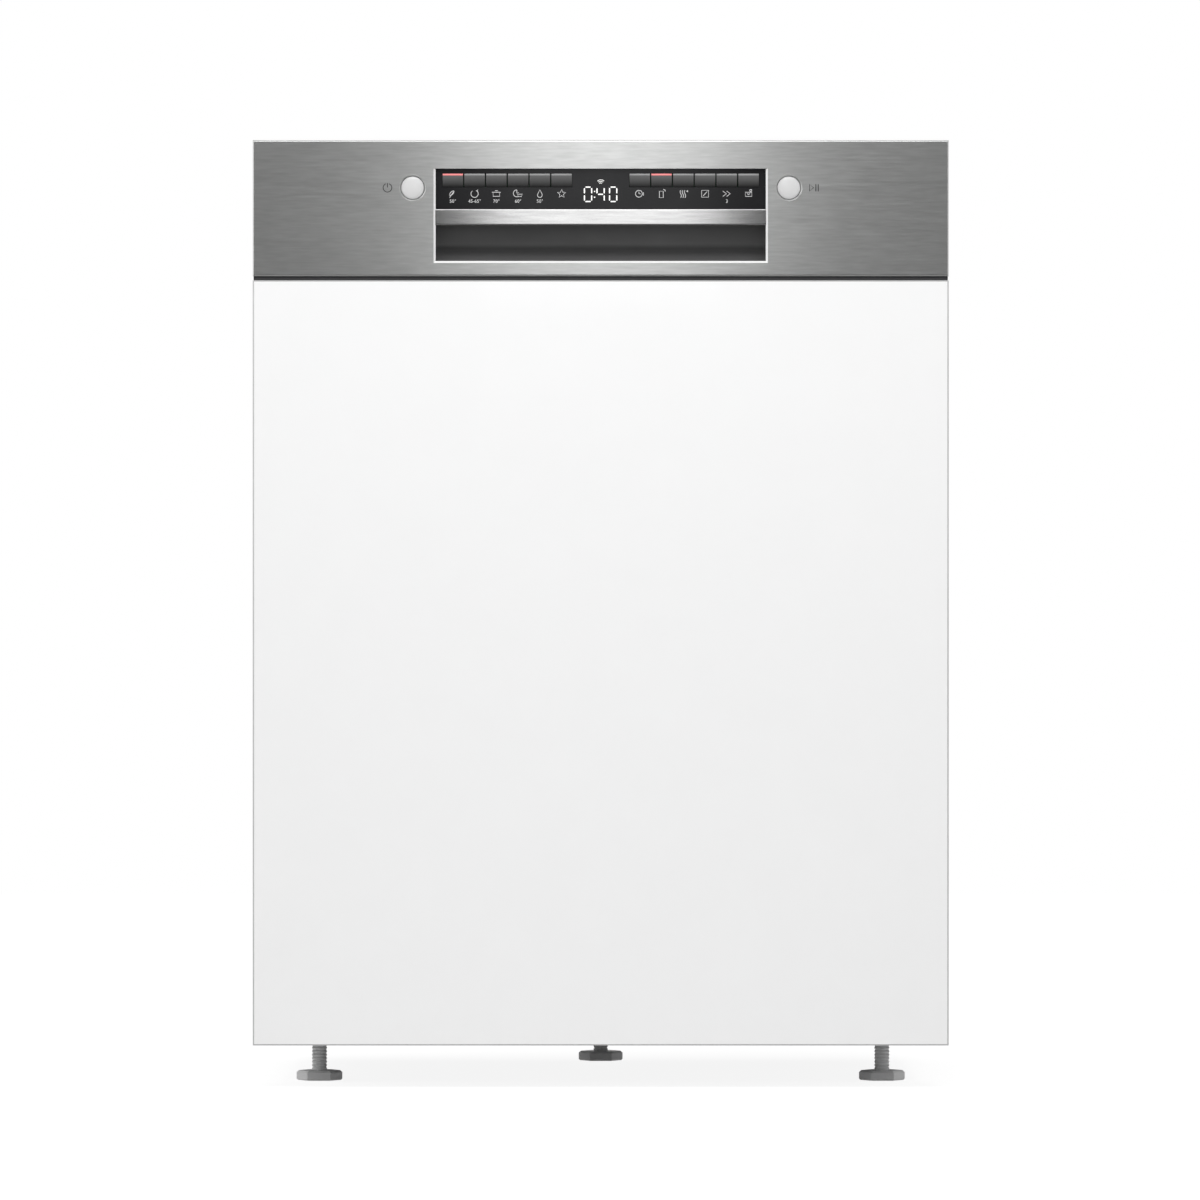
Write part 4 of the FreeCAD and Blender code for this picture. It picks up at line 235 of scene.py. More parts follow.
# Black plastic painted a paler grey than its own: painted light for the dim grip recess, shared by the
# control housing.
PAINTED_FILL_BLACK = moulded("painted_fill_black", (0.15, 0.15, 0.151), 0.42)
BUTTON_SILVER = moulded("button_silver", (0.64, 0.64, 0.64), 0.3, grain=2500, height=0.00001)
DARK_PLASTIC = moulded("dark_plastic", (0.045, 0.045, 0.047), 0.55)
GREY_PLASTIC = moulded("grey_plastic", (0.30, 0.31, 0.33), 0.42)
LIGHT_PLASTIC = moulded("light_plastic", (0.62, 0.63, 0.64), 0.33)
PALE_FOOT = moulded("foot_plastic", (0.86, 0.86, 0.86), 0.5)
RACK_COAT = moulded("rack_coat", (0.36, 0.37, 0.39), 0.35, grain=500, height=0.00002)
RUBBER = moulded("seal_rubber", (0.045, 0.045, 0.048), 0.7, grain=1500)
BOARD_GREEN = moulded("board_green", (0.03, 0.14, 0.06), 0.4)
FELT = moulded("felt", (0.10, 0.095, 0.09), 0.95, grain=700, height=0.0006)
PRINT_DARK = moulded("print_dark", (0.03, 0.03, 0.032), 0.5, grain=1500, height=0.00001)
PRINT_PALE = glowing("print_pale", (0.62, 0.62, 0.62), 0.10)
DIGIT_LIGHT = glowing("digit_light", (0.92, 0.92, 0.90), 0.45)
# The unlit lamp bars are given a faint painted glow.
KEY_PALE_PAINTED_GLOW = glowing("key_pale_painted_glow", (0.30, 0.30, 0.30), 0.05)
KEY_RED = glowing("key_red", (0.75, 0.22, 0.22), 0.35)

NODE_FINISH = {
    FASCIA_STEEL: ["fascia"],
    BAR_STEEL: ["handle_bar"],
    TUB_STEEL: ["tub", "rack_rails"],
    DOOR_STEEL: ["inner_door"],
    ZINC: ["outer_door", "side_panels", "rear_panel", "top_frame", "latch_tongue"],
    HINGE_STEEL: ["door_hinges", "hinge_arms"],
    STRAINER_STEEL: ["fine_filter"],
    LACQUER: ["furniture_panel"],
    GLOSS_BLACK: ["display_cover"],
    KEY_PAINTED_LIGHT: [f"program_key_{number}" for number in range(1, 13)],
    PAINTED_FILL_BLACK: ["grip_pocket", "control_housing"],
    BUTTON_SILVER: ["power_button", "start_button"],
    DARK_PLASTIC: [
        "base_tray", "kick_plate", "pumps", "sump", "filter_cylinder", "door_latch", "water_connections",
    ],
    GREY_PLASTIC: [
        "dispenser", "rack_wheels", "cup_shelf", "cutlery_basket", "lower_spray_arm", "upper_spray_arm",
        "upper_spray_duct", "spray_riser",
    ],
    LIGHT_PLASTIC: ["dispenser_lid", "rinse_aid_flap", "salt_cap", "water_softener"],
    PALE_FOOT: ["left_front_foot", "right_front_foot", "rear_foot"],
    RACK_COAT: ["lower_rack", "upper_rack", "folding_tines"],
    RUBBER: ["door_seal", "door_bottom_seal"],
    BOARD_GREEN: ["control_board"],
    FELT: ["tub_insulation"],
}


def paint(piece, material):
    piece.data.materials.clear()
    piece.data.materials.append(material)


for material, names in NODE_FINISH.items():
    for name in names:
        paint(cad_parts[name], material)


# Pieces
UP = Vector((0, 0, 1))
ACROSS = Vector((1, 0, 0))
INWARD = Vector((0, 1, 0))
LOBE = 0.12  # How far lobes stand out, as a share of the radius


def piece(name, form, material, body, slot):
    """A named piece of the object, made from a bmesh and riding on a body."""
    bmesh.ops.remove_doubles(form, verts=form.verts, dist=0.005 * MM)
    bmesh.ops.recalc_face_normals(form, faces=form.faces)
    mesh = bpy.data.meshes.new(name)
    form.to_mesh(mesh)
    form.free()
    mesh.shade_smooth()
    mesh.set_sharp_from_angle(angle=math.radians(38))
    made = bpy.data.objects.new(name, mesh)
    SCENE.collection.objects.link(made)
    paint(made, material)
    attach(made, body)
    return made


def join_rings(form, rings, closed):
    """Walls between rings of corners, where a ring of one corner is a point."""
    pairs = list(zip(rings, rings[1:]))
    if closed:
        pairs.append((rings[-1], rings[0]))
    for one, two in pairs:
        size = max(len(one), len(two))
        for step in range(size):
            after = (step + 1) % size
            near = [one[step % len(one)], one[after % len(one)]]
            far = [two[after % len(two)], two[step % len(two)]]
            form.faces.new(list(dict.fromkeys(near + far)))


def turned(form, profile, centre, axis, segments=48, closed=False):
    """A solid turned round an axis, from triples of radius, height and lobes round the edge."""
    turn = axis.to_track_quat("Z", "Y").to_matrix()
    rings = []
    for radius, height, *lobes in profile:
        if radius == 0:
            rings.append([form.verts.new(centre + turn @ Vector((0, 0, height)))])
            continue
        ring = []
        for step in range(segments):
            angle = 2 * math.pi * step / segments
            reach = radius * (1 + LOBE * math.cos(angle * lobes[0])) if lobes else radius
            spot = Vector((reach * math.cos(angle), reach * math.sin(angle), height))
            ring.append(form.verts.new(centre + turn @ spot))
        rings.append(ring)
    join_rings(form, rings, closed)


def tube(form, points, radius, segments=8, closed=False, squash=1.0):
    """A round wire through points, with rounded ends; squash thins it front to back."""
    count = len(points)
    turns = [2 * math.pi * step / segments for step in range(segments)]
    across = None
    rings = []
    for index, point in enumerate(points):
        before = points[index - 1] if index or closed else point
        after = points[(index + 1) % count] if index < count - 1 or closed else point
        way = (after - before).normalized()
        if across is None:
            across = way.orthogonal().normalized()
        across = (across - way * across.dot(way)).normalized()
        beside = way.cross(across)
        ends = [(0, 1)]
        if not closed and index == 0:
            ends = [(-0.4, 0.5), (0, 1)]
        elif not closed and index == count - 1:
            ends = [(0, 1), (0.4, 0.5)]
        for shift, share in ends:
            ring = []
            for turn in turns:
                spot = (across * math.cos(turn) + beside * math.sin(turn)) * radius * share
                spot.y *= squash
                ring.append(form.verts.new(point + way * radius * shift + spot))
            rings.append(ring)
    join_rings(form, rings, closed)
    if not closed:
        form.faces.new(rings[0])
        form.faces.new(rings[-1])


def rounded_path(points, radius, closed=False, steps=4):
    """The path with an arc in place of each corner."""
    last = len(points) - 1
    made = []
    for index, corner in enumerate(points):
        if not closed and index in (0, last):
            made.append(corner)
            continue
        one = (points[index - 1] - corner).normalized()
        two = (points[(index + 1) % len(points)] - corner).normalized()
        half = one.angle(two) / 2
        centre = corner + (one + two).normalized() * radius / math.sin(half)
        arm = corner + one * radius / math.tan(half) - centre
        for step in range(steps + 1):
            swing = Quaternion(one.cross(two), (2 * half - math.pi) * step / steps)
            made.append(centre + swing @ arm)
    return made


def soft_box(form, low, high, radius, segments=2):
    """A block whose edges are rounded."""
    low, high = Vector(low), Vector(high)
    made = bmesh.ops.create_cube(form, size=1)["verts"]
    for vert in made:
        vert.co = Vector([(a + b) / 2 + c * (b - a) for a, b, c in zip(low, high, vert.co)])
    edges = {edge for vert in made for edge in vert.link_edges}
    bmesh.ops.bevel(form, geom=list(edges), offset=radius, segments=segments, profile=0.5, affect="EDGES")


def spread(low, high, count):
    """Evenly spaced places, the first and the last included."""
    return [low + (high - low) * index / (count - 1) for index in range(count)]


def in_mm(profile):
    """A profile for turned, typed in millimetres, in metres."""
    return [(radius * MM, height * MM, *lobes) for radius, height, *lobes in profile]


def ring_section(radius, half, sides):
    """The profile of a ring of round wire: half is the wire's radius."""
    turns = spread(0, math.tau * (sides - 1) / sides, sides)
    return [(radius * MM + half * MM * math.cos(turn), half * MM * math.sin(turn)) for turn in turns]


# The control strip
def strokes(form, lines, centre, size, width):
    """Printed lines in the plane of the front; each is a list of points from -1 to 1."""
    for line in lines:
        spots = [centre + Vector((x, 0, z)) * size / 2 for x, z in line]
        closed = len(spots) > 2 and (spots[0] - spots[-1]).length < width / 4
        tube(form, spots[:-1] if closed else spots, width / 2, 6, closed, squash=0.1)


def curve(x, z, radius, start=0, end=360, steps=14):
    """An arc of a printed line, in the same units of -1 to 1."""
    angles = [math.radians(start + (end - start) * step / steps) for step in range(steps + 1)]
    return [(x + radius * math.cos(a), z + radius * math.sin(a)) for a in angles]


def star(points=5):
    made = []
    for step in range(2 * points + 1):
        turn = math.pi / 2 + math.pi * step / points
        reach = 0.45 if step % 2 else 1
        made.append((math.cos(turn) * reach, math.sin(turn) * reach))
    return made


def wave(x):
    return [(x + 0.15 * math.sin(step), -0.9 + step * 0.28) for step in range(7)]


POT = [(-0.75, 0.35), (-0.75, -0.6), (0.75, -0.6), (0.75, 0.35), (-0.75, 0.35)]
BOWL = [(-0.2, -0.1), (1.0, -0.1), (0.75, -0.65), (0.05, -0.65), (-0.2, -0.1)]
SYMBOLS = [
    [curve(0.25, -0.35, 1.0, 90, 170), curve(-0.75, 0.62, 1.0, -90, 0), [(-0.75, -0.9), (0.1, 0.35)]],
    [curve(0, 0, 0.85, 130, 410), [(0.35, 0.75), (0.66, 0.54), (0.72, 0.95)]],
    [POT, [(-1, 0.35), (1, 0.35)], [(-0.3, 0.7), (0.3, 0.7)]],
    [curve(-0.3, 0.1, 0.8, 90, 300), [(-0.3, 0.9), (-0.3, 0.1), (0.1, 0.3)], BOWL],
    [curve(0, -0.3, 0.55, 150, 390), [(-0.48, -0.02), (0, 0.95), (0.48, -0.02)]],
    [star()],
    [curve(-0.2, 0, 0.8), [(-0.2, 0.5), (-0.2, 0), (0.15, 0)], [(0.85, 0.3), (0.85, -0.4)]],
    [[(-0.5, 0.6), (0.4, 0.6), (0.4, -0.9), (-0.5, -0.9), (-0.5, 0.6)], curve(0.35, 0.55, 0.5, 0, 80, 6)],
    [wave(-0.6), wave(-0.1), wave(0.4), [(0.75, 0.6), (1.15, 0.6)], [(0.95, 0.4), (0.95, 0.8)]],
    [[(-0.8, 0.8), (0.8, 0.8), (0.8, -0.8), (-0.8, -0.8), (-0.8, 0.8)], [(0.45, 0.5), (-0.45, -0.5)]],
    [[(-0.9, 0.6), (-0.1, 0), (-0.9, -0.6)], [(0, 0.6), (0.8, 0), (0, -0.6)]],
    [POT, curve(0.5, 0.75, 0.25), [(-0.35, 0.05), (0, -0.2), (0.35, 0.05)]],
]
SEGMENTS = {
    "top": ((0, 2), (1, 2)), "upper_left": ((0, 1), (0, 2)), "upper_right": ((1, 1), (1, 2)),
    "middle": ((0, 1), (1, 1)), "lower_left": ((0, 0), (0, 1)), "lower_right": ((1, 0), (1, 1)),
    "bottom": ((0, 0), (1, 0)),
}
SEGMENTS_UNLIT = {0: ["middle"], 4: ["top", "lower_left", "bottom"]}


def print_lines(name, lines, centre, size, width, material):
    """A symbol printed on the door."""
    form = bmesh.new()
    strokes(form, lines, centre, size, width)
    piece(name, form, material, "door", "gloss_black")


def make_readout(face):
    """The digits of the time left, as bars with gaps at their corners."""
    low, high = box("display_cover")
    cell = 6.2 * MM
    gap = 1.1 * MM
    bottom = low.z + 6.1 * MM
    form = bmesh.new()
    for digit, left in ((0, -14.0 * MM), (4, -3.2 * MM), (0, 7.6 * MM)):
        for name, ends in SEGMENTS.items():
            if name in SEGMENTS_UNLIT[digit]:
                continue
            one, two = [Vector((left + x * cell, face, bottom + z * cell)) for x, z in ends]
            trim = (two - one).normalized() * gap
            tube(form, [one + trim, two - trim], 0.55 * MM, 6, squash=0.2)
    colon_x, dot = -5.3 * MM, UP * 0.3 * MM
    for height in (0.6, 1.4):
        spot = Vector((colon_x, face, bottom + height * cell))
        tube(form, [spot - dot, spot + dot], 0.6 * MM, 6, squash=0.2)
    piece("readout_digits", form, DIGIT_LIGHT, "door", "gloss_black")
    signal = [curve(0, -1, radius, 48, 132, 8) for radius in (0.7, 1.3, 1.9)]
    spot = Vector((0, face, high.z - 11.2 * MM))
    print_lines("signal_symbol", signal, spot, 4.4 * MM, 0.5 * MM, DIGIT_LIGHT)


def make_number(name, text, height, centre, material):
    """A plain printed number."""
    data = bpy.data.curves.new(name, "FONT")
    data.body = text
    data.size = height * 1.4
    data.extrude = 0.05 * MM
    data.align_x = "CENTER"
    data.resolution_u = 3
    source = bpy.data.objects.new(name, data)
    form = bmesh.new()
    form.from_mesh(bpy.data.meshes.new_from_object(source))
    bpy.data.objects.remove(source)
    form.transform(Matrix.Translation(centre) @ Matrix.Rotation(math.pi / 2, 4, "X"))
    piece(name, form, material, "door", "gloss_black")


def make_key_lamp(number):
    """The bar along the top of a key: a lit red lamp on the two that are chosen, and on the others an unlit
    lamp with a faint painted glow.
    """
    key = f"program_key_{number}"
    low, high = box(key)
    inset, height = 0.1 * MM, 1.4 * MM
    start = (low.x + inset, low.y - 0.12 * MM, high.z - height)
    end = (high.x - inset, low.y + 1.2 * MM, high.z + 0.08 * MM)
    form = bmesh.new()
    soft_box(form, start, end, 0.1 * MM)
    material = KEY_RED if number in (1, 8) else KEY_PALE_PAINTED_GLOW
    piece(f"key_lamp_{number}", form, material, key, "key_smoke")


def make_control_strip():
    """The readout and, for each key, its lamp, its symbol and its number if it has one."""
    face = box("display_cover")[0].y
    make_readout(face)
    symbol_drop, number_drop = 5.9 * MM, 13.6 * MM
    numbers = {1: "50°", 2: "45-65°", 3: "70°", 4: "60°", 5: "50°", 11: "3"}
    for number, symbol in enumerate(SYMBOLS, 1):
        low, high = box(f"program_key_{number}")
        x = (low.x + high.x) / 2
        make_key_lamp(number)
        spot = Vector((x, face, low.z - symbol_drop))
        print_lines(f"key_symbol_{number}", symbol, spot, 7.4 * MM, 0.55 * MM, PRINT_PALE)
        if number in numbers:
            spot = Vector((x, face, low.z - number_drop))
            make_number(f"key_number_{number}", numbers[number], 2.9 * MM, spot, PRINT_PALE)


def make_fascia_symbols():
    """The mains symbol beside the left button and the start symbol beside the right one."""
    face = box("fascia")[0].y
    size, distance = 7.4 * MM, 21.5 * MM
    power = [curve(0, 0, 1, 115, 425, 24), [(0, 1.05), (0, 0.1)]]
    triangle = [(-1, 0.8), (-0.1, 0), (-1, -0.8), (-1, 0.8)]
    start = [triangle, [(0.45, 0.8), (0.45, -0.8)], [(1, 0.8), (1, -0.8)]]
    rows = ("power_symbol", power, "power_button", -1, 0.75), ("start_symbol", start, "start_button", 1, 0.95)
    for name, lines, node, way, width in rows:
        centre = middle(node)
        spot = Vector((centre.x + way * distance, face, centre.z))
        print_lines(name, lines, spot, size, width * MM, PRINT_DARK)


def make_button(node, name):
    """A domed cap with a rounded rim, level with the fascia."""
    low, high = box(node)
    radius = (high.x - low.x) / 2
    depth = high.y - low.y
    crown, steps, chamfer = 2.1 * MM, 14, 0.3 * MM
    turns = [step / steps * math.pi / 2 for step in range(1, steps)]
    profile = [(0, 0)] + [(radius * math.sin(turn), crown * (1 - math.cos(turn))) for turn in turns]
    profile += [(radius, crown * 1.25), (radius, depth - chamfer), (radius - chamfer, depth), (0, depth)]
    form = bmesh.new()
    turned(form, profile, Vector((middle(node).x, low.y, middle(node).z)), INWARD, 64)
    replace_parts(piece(name, form, BUTTON_SILVER, node, "button_silver"), node)


def make_window_trim():
    """The bevel down both sides of the opening and along its bottom, in near-white: a painted highlight along
    the steel's edge.
    """
    face = box("fascia")[0].y
    side, low = box("handle_bar")[1].x, box("grip_pocket")[0].z + 2 * MM
    high = box("display_cover")[1].z + 0.3 * MM
    bevel, skin = 1.6 * MM, 0.12 * MM
    corners = (-side, high, (1, 0)), (-side, low, (1, 1)), (side, low, (-1, 1)), (side, high, (-1, 0))
    form = bmesh.new()
    rings = []
    for x, z, shift in corners:
        inward = Vector((shift[0], 0, shift[1]))
        inner = Vector((x, face + bevel, z))
        outer = Vector((x, face, z)) - inward * bevel
        lift = inward * skin
        rings.append([form.verts.new(spot) for spot in (outer, outer + lift, inner + lift, inner)])
    join_rings(form, rings, False)
    form.faces.new(rings[0])
    form.faces.new(rings[-1])
    piece("window_trim", form, PAINTED_HIGHLIGHT_EDGE, "door", "steel_bright")


def make_painted_shadow_strip():
    """A black strip in the gap between the fascia and the furniture panel, a dark sheet where the deep gap
    shows only shade: a painted shadow.
    """
    under, over = box("furniture_panel")[1], box("fascia")[0]
    side = under.x - 0.6 * MM
    sunk, play = 3 * MM, 0.1 * MM
    low = (-side, over.y + sunk, under.z + play)
    high = (side, box("outer_door")[0].y, over.z - play)
    form = bmesh.new()
    soft_box(form, low, high, 0.5 * MM)
    # The strip stands in for the shade inside the gap: a painted shadow.
    piece("painted_shadow_strip", form, RUBBER, "door", "seal_rubber")


def make_panel_edging():
    """The rounded edge band of the furniture panel, over the CAD's eased front edges, in mid grey: a painted
    shade line round the panel.
    """
    low, high = box("furniture_panel")
    ease, skin = 1.2 * MM, 0.3 * MM
    turns = spread(0, math.pi / 2, 5)
    section = [(ease * (1 - math.sin(turn)), ease * (1 - math.cos(turn))) for turn in turns]
    section += [(skin, ease), (ease, skin)]
    corners = [(low.x, low.z, 1, 1), (high.x, low.z, -1, 1)]
    corners += [(high.x, high.z, -1, -1), (low.x, high.z, 1, -1)]
    form = bmesh.new()
    rings = []
    for x, z, across, upward in corners:
        spots = [(x + across * inset, low.y + depth, z + upward * inset) for inset, depth in section]
        rings.append([form.verts.new(spot) for spot in spots])
    join_rings(form, rings, True)
    piece("panel_edging", form, PANEL_EDGE_SHADE, "door", "front_white")


# Fixings
def screw(form, centre, axis, radius):
    """A rounded screw head with a six-lobed recess."""
    head = [(0, 0), (1, 0), (1, 0.12), (0.86, 0.3), (0.5, 0.42)]
    recess = [(0.45, 0.42, 6), (0.38, 0.05, 6), (0, 0.05)]
    profile = [(share * radius, height * radius, *lobes) for share, height, *lobes in head + recess]
    turned(form, profile, centre, axis, 24)


def make_screws(name, places, axis, radius, body):
    """Screws that all face one way, as one piece."""
    form = bmesh.new()
    for place in places:
        screw(form, Vector(place), axis, radius)
    piece(name, form, HINGE_STEEL, body, "hinge_steel")


def make_door_screws():
    """Two columns of screws down the inner door's folded edges."""
    low, high = box("inner_door")
    face = high.y - 6 * MM
    side, end = 5.5 * MM, 40 * MM
    heights = spread(low.z + end, high.z - end, 6)
    places = [(x, face, z) for x in (low.x + side, high.x - side) for z in heights]
    make_screws("door_screws", places, INWARD, 3.2 * MM, "door")


def make_kick_plate_screws():
    """Three screws that hold the kick plate to the base tray."""
    low, high = box("base_tray")
    level, end = low.z + 20 * MM, 70 * MM
    face = box("kick_plate")[0].y
    places = [(x, face, level) for x in spread(low.x + end, high.x - end, 3)]
    make_screws("kick_plate_screws", places, -INWARD, 3.2 * MM, "machine")


def make_casing_screws():
    """Screws down the front and back edges of both side panels."""
    low, high = box("side_panels")
    edge, end = 12 * MM, 22 * MM
    heights = spread(low.z + end, high.z - end, 4)
    for name, x, axis in (("left_casing_screws", low.x, -ACROSS), ("right_casing_screws", high.x, ACROSS)):
        places = [(x, y, z) for y in (low.y + edge, high.y - edge) for z in heights]
        make_screws(name, places, axis, 3.6 * MM, "machine")


# Racks
WIRE = 4 * MM
BEND = 16 * MM


class Rack:
    """Round plastic-coated wires where the CAD rack has its square ones, with as many again between."""

    def __init__(self, node, cross_count):
        low, high = box(node)
        self.side, self.front, self.back = high.x, low.y, high.y
        self.floor, self.rim = low.z, high.z
        self.cross_level = self.floor + WIRE * 1.5
        self.top = self.cross_level + WIRE / 2
        self.leg_x = self.side - WIRE * 1.5
        start = WIRE * 2.5 + BEND
        self.cross_places = spread(self.front + start, self.back - start, cross_count * 2 - 1)
        reach = self.leg_x - BEND - WIRE
        self.length_places = spread(-reach, reach, 9)
        self.form = bmesh.new()

    def wire(self, points, closed=False):
        tube(self.form, points, WIRE / 2, 8, closed)

    def basket(self, ring_heights):
        for y in self.cross_places:
            x, low = self.leg_x, self.cross_level
            half = [Vector((x, y, self.rim)), Vector((x, y, low + BEND)), Vector((x - BEND, y, low))]
            mirrored = [Vector((-spot.x, spot.y, spot.z)) for spot in reversed(half)]
            self.wire(rounded_path(half + mirrored, BEND * 1.5))
        for x in self.length_places:
            low, inset = self.floor + WIRE / 2, WIRE * 1.5
            front, back = self.front + inset, self.back - inset
            ends = [(x, front, self.rim), (x, front, low + BEND), (x, front + BEND, low)]
            ends += [(x, back - BEND, low), (x, back, low + BEND), (x, back, self.rim)]
            self.wire(rounded_path([Vector(end) for end in ends], BEND * 1.5))
        x, front, back = self.side - WIRE / 2, self.front + WIRE / 2, self.back - WIRE / 2
        for z in ring_heights:
            corners = [(-x, front, z), (x, front, z), (x, back, z), (-x, back, z)]
            ring = [Vector(corner) for corner in corners]
            self.wire(rounded_path(ring, BEND, closed=True), closed=True)

    def tine(self, x, y, height):
        self.wire([Vector((x, y, self.top - WIRE / 2)), Vector((x, y, self.top + height - WIRE / 4))])

    def inner_places(self):
        return self.cross_places[2:-2]


def make_lower_rack(rack):
    rack.basket([rack.rim - WIRE / 2, (rack.floor + rack.rim) / 2])
    folding = box("folding_tines")
    height = folding[1].z - folding[0].z - WIRE
    for y in rack.inner_places():
        rack.tine(rack.length_places[2], y, height)
    for y in (rack.cross_places[0], rack.cross_places[-1]):
        spot = Vector((0, y, rack.top + WIRE))
        turned(rack.form, ring_section(3.1, 0.9, 8), spot, INWARD, 16, closed=True)
    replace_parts(piece("lower_rack_wires", rack.form, RACK_COAT, "machine", "rack_coat"), "lower_rack")


def make_folding_row(rack):
    """The row of tines that folds down, on its own length of wire."""
    low, high = box("folding_tines")
    x, level = rack.length_places[4], rack.top + WIRE
    front, back = [Vector((x, y, level)) for y in (low.y + WIRE / 4, high.y - WIRE / 4)]
    form = bmesh.new()
    tube(form, [front, back], WIRE / 2)
    for y in rack.inner_places():
        tube(form, [Vector((x, y, level)), Vector((x, y, high.z - WIRE / 4))], WIRE / 2)
    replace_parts(piece("folding_tine_row", form, RACK_COAT, "folding_tines", "rack_coat"), "folding_tines")


def make_rack_grip(rack):
    """The ribbed handle on the lower rack's front rim."""
    half = 72 * MM
    form = bmesh.new()
    low = (-half, rack.front - 3 * MM, rack.rim - 15 * MM)
    soft_box(form, low, (half, rack.front + 7 * MM, rack.rim), 2.5 * MM)
    for x in spread(-half * 0.8, half * 0.8, 15):
        low = (x - 1 * MM, rack.front - 3.6 * MM, rack.rim - 12 * MM)
        soft_box(form, low, (x + 1 * MM, rack.front, rack.rim - 3 * MM), 0.5 * MM)
    piece("lower_rack_grip", form, GREY_PLASTIC, "machine", "grey_plastic")


def make_upper_rack(rack):
    rack.basket([rack.rim - WIRE / 2, (rack.floor + rack.rim) / 2])
    folding = box("folding_tines")
    height = (folding[1].z - folding[0].z - WIRE / 2) * 0.6
    for y in rack.inner_places():
        rack.tine(rack.length_places[6], y, height)
    shelf = box("cup_shelf")
    x, level = -rack.leg_x + WIRE * 2.5, (shelf[0].z + shelf[1].z) / 2
    front, back = rack.cross_places[2], rack.cross_places[-3]
    leg = [Vector((-rack.leg_x, front, level)), Vector((x, front, level))]
    rack.wire(leg + [Vector((x, back, level)), Vector((-rack.leg_x, back, level))])
    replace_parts(piece("upper_rack_wires", rack.form, RACK_COAT, "machine", "rack_coat"), "upper_rack")


def make_cutlery_basket():
    """Slatted walls and a grid floor in a moulded frame, with a grip across the middle."""
    low, high = box("cutlery_basket")
    wall, slat = 2.4 * MM, 3 * MM
    rim = low.z + 118 * MM
    cut = wall * 4
    slats = (low.z, rim - 4 * MM)
    form = bmesh.new()

    def bar(x, y, z):
        soft_box(form, (x[0], y[0], z[0]), (x[1], y[1], z[1]), 0.5 * MM, 1)

    bands = ((low.z, low.z + 9 * MM), (low.z + 60 * MM, low.z + 66 * MM), (rim - 9 * MM, rim))
    for x in ((low.x, low.x + wall), (high.x - wall, high.x)):
        for y in spread(low.y + cut, high.y - cut - slat, 24):
            bar(x, (y, y + slat), slats)
        for band in bands:
            bar(x, (low.y + cut - wall / 2, high.y - cut + wall / 2), band)
    for y in ((low.y, low.y + wall), (high.y - wall, high.y)):
        for x in spread(low.x + cut, high.x - cut - slat, 8):
            bar((x, x + slat), y, slats)
        for band in bands:
            bar((low.x + cut - wall / 2, high.x - cut + wall / 2), y, band)
    for x, way in ((low.x, 1), (high.x, -1)):
        for y, side in ((low.y, 1), (high.y, -1)):
            near = Vector((x + way * wall / 2, y + side * cut, 0))
            ends = [near, Vector((x + way * cut, y + side * wall / 2, 0))]
            for band in bands:
                for z in (band[0] + wall / 2, band[1] - wall / 2):
                    tube(form, [end + UP * z for end in ends], wall / 2, 6)
            post = (ends[0] + ends[1]) / 2
            tube(form, [post + UP * (low.z + wall / 2), post + UP * (rim - wall / 2)], wall / 2, 8)
    for y in spread(low.y + cut, high.y - cut - wall, 15):
        bar((low.x + 1 * MM, high.x - 1 * MM), (y, y + wall), (low.z, low.z + wall))
    for x in spread(low.x + cut, high.x - cut - wall, 6):
        bar((x, x + wall), (low.y + 1 * MM, high.y - 1 * MM), (low.z, low.z + wall))
    centre = (low.y + high.y) / 2
    bar((low.x + 1 * MM, high.x - 1 * MM), (centre - wall / 2, centre + wall / 2), (low.z, rim))
    inset = wall * 3
    ends = [(low.x + inset, rim - 3 * MM), (low.x + inset, high.z - 3.5 * MM)]
    ends += [(high.x - inset, high.z - 3.5 * MM), (high.x - inset, rim - 3 * MM)]
    tube(form, rounded_path([Vector((x, centre, z)) for x, z in ends], 8 * MM), 3.4 * MM, 12)
    basket = piece("cutlery_basket_slatted", form, GREY_PLASTIC, "machine", "grey_plastic")
    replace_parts(basket, "cutlery_basket")


def make_rail_ends():
    """Moulded stops that clip into the front ends of the upper rack's rails."""
    low, high = box("rack_rails")
    width, lap = 13 * MM, 0.8 * MM
    level = (low.z + high.z) / 2
    form = bmesh.new()
    for side in (-1, 1):
        left, right = sorted((side * high.x, side * (high.x - width)))
        start = (left, low.y - 4 * MM, low.z - lap)
        soft_box(form, start, (right, low.y + 8 * MM, high.z + lap), 1.5 * MM)
        x = (left + right) / 2
        start = (x - 3 * MM, low.y - 6 * MM, level - 5 * MM)
        soft_box(form, start, (x + 3 * MM, low.y, level + 5 * MM), 1 * MM)
    piece("rail_ends", form, GREY_PLASTIC, "machine", "grey_plastic")


def make_wheel_caps(rack):
    """Ribbed hub caps on the lower rack's wheels."""
    wheel, sunk = 9 * MM, 0.4 * MM
    face = rack.side + WIRE + wheel - sunk
    level = box("sump")[1].z + 1 * MM
    profile = [(0, 0), (14.5, 0), (14.5, 1.0), (12, 1.4, 5), (9, 1.0, 5)]
    profile += [(5.5, 1.0), (5, 2.2), (2.5, 2.4), (0, 1.8)]
    form = bmesh.new()
    for side in (-1, 1):
        for y in (rack.cross_places[2], rack.cross_places[-3]):
            turned(form, in_mm(profile), Vector((side * face, y, level)), ACROSS * side, 40)
    piece("wheel_caps", form, LIGHT_PLASTIC, "machine", "light_plastic")


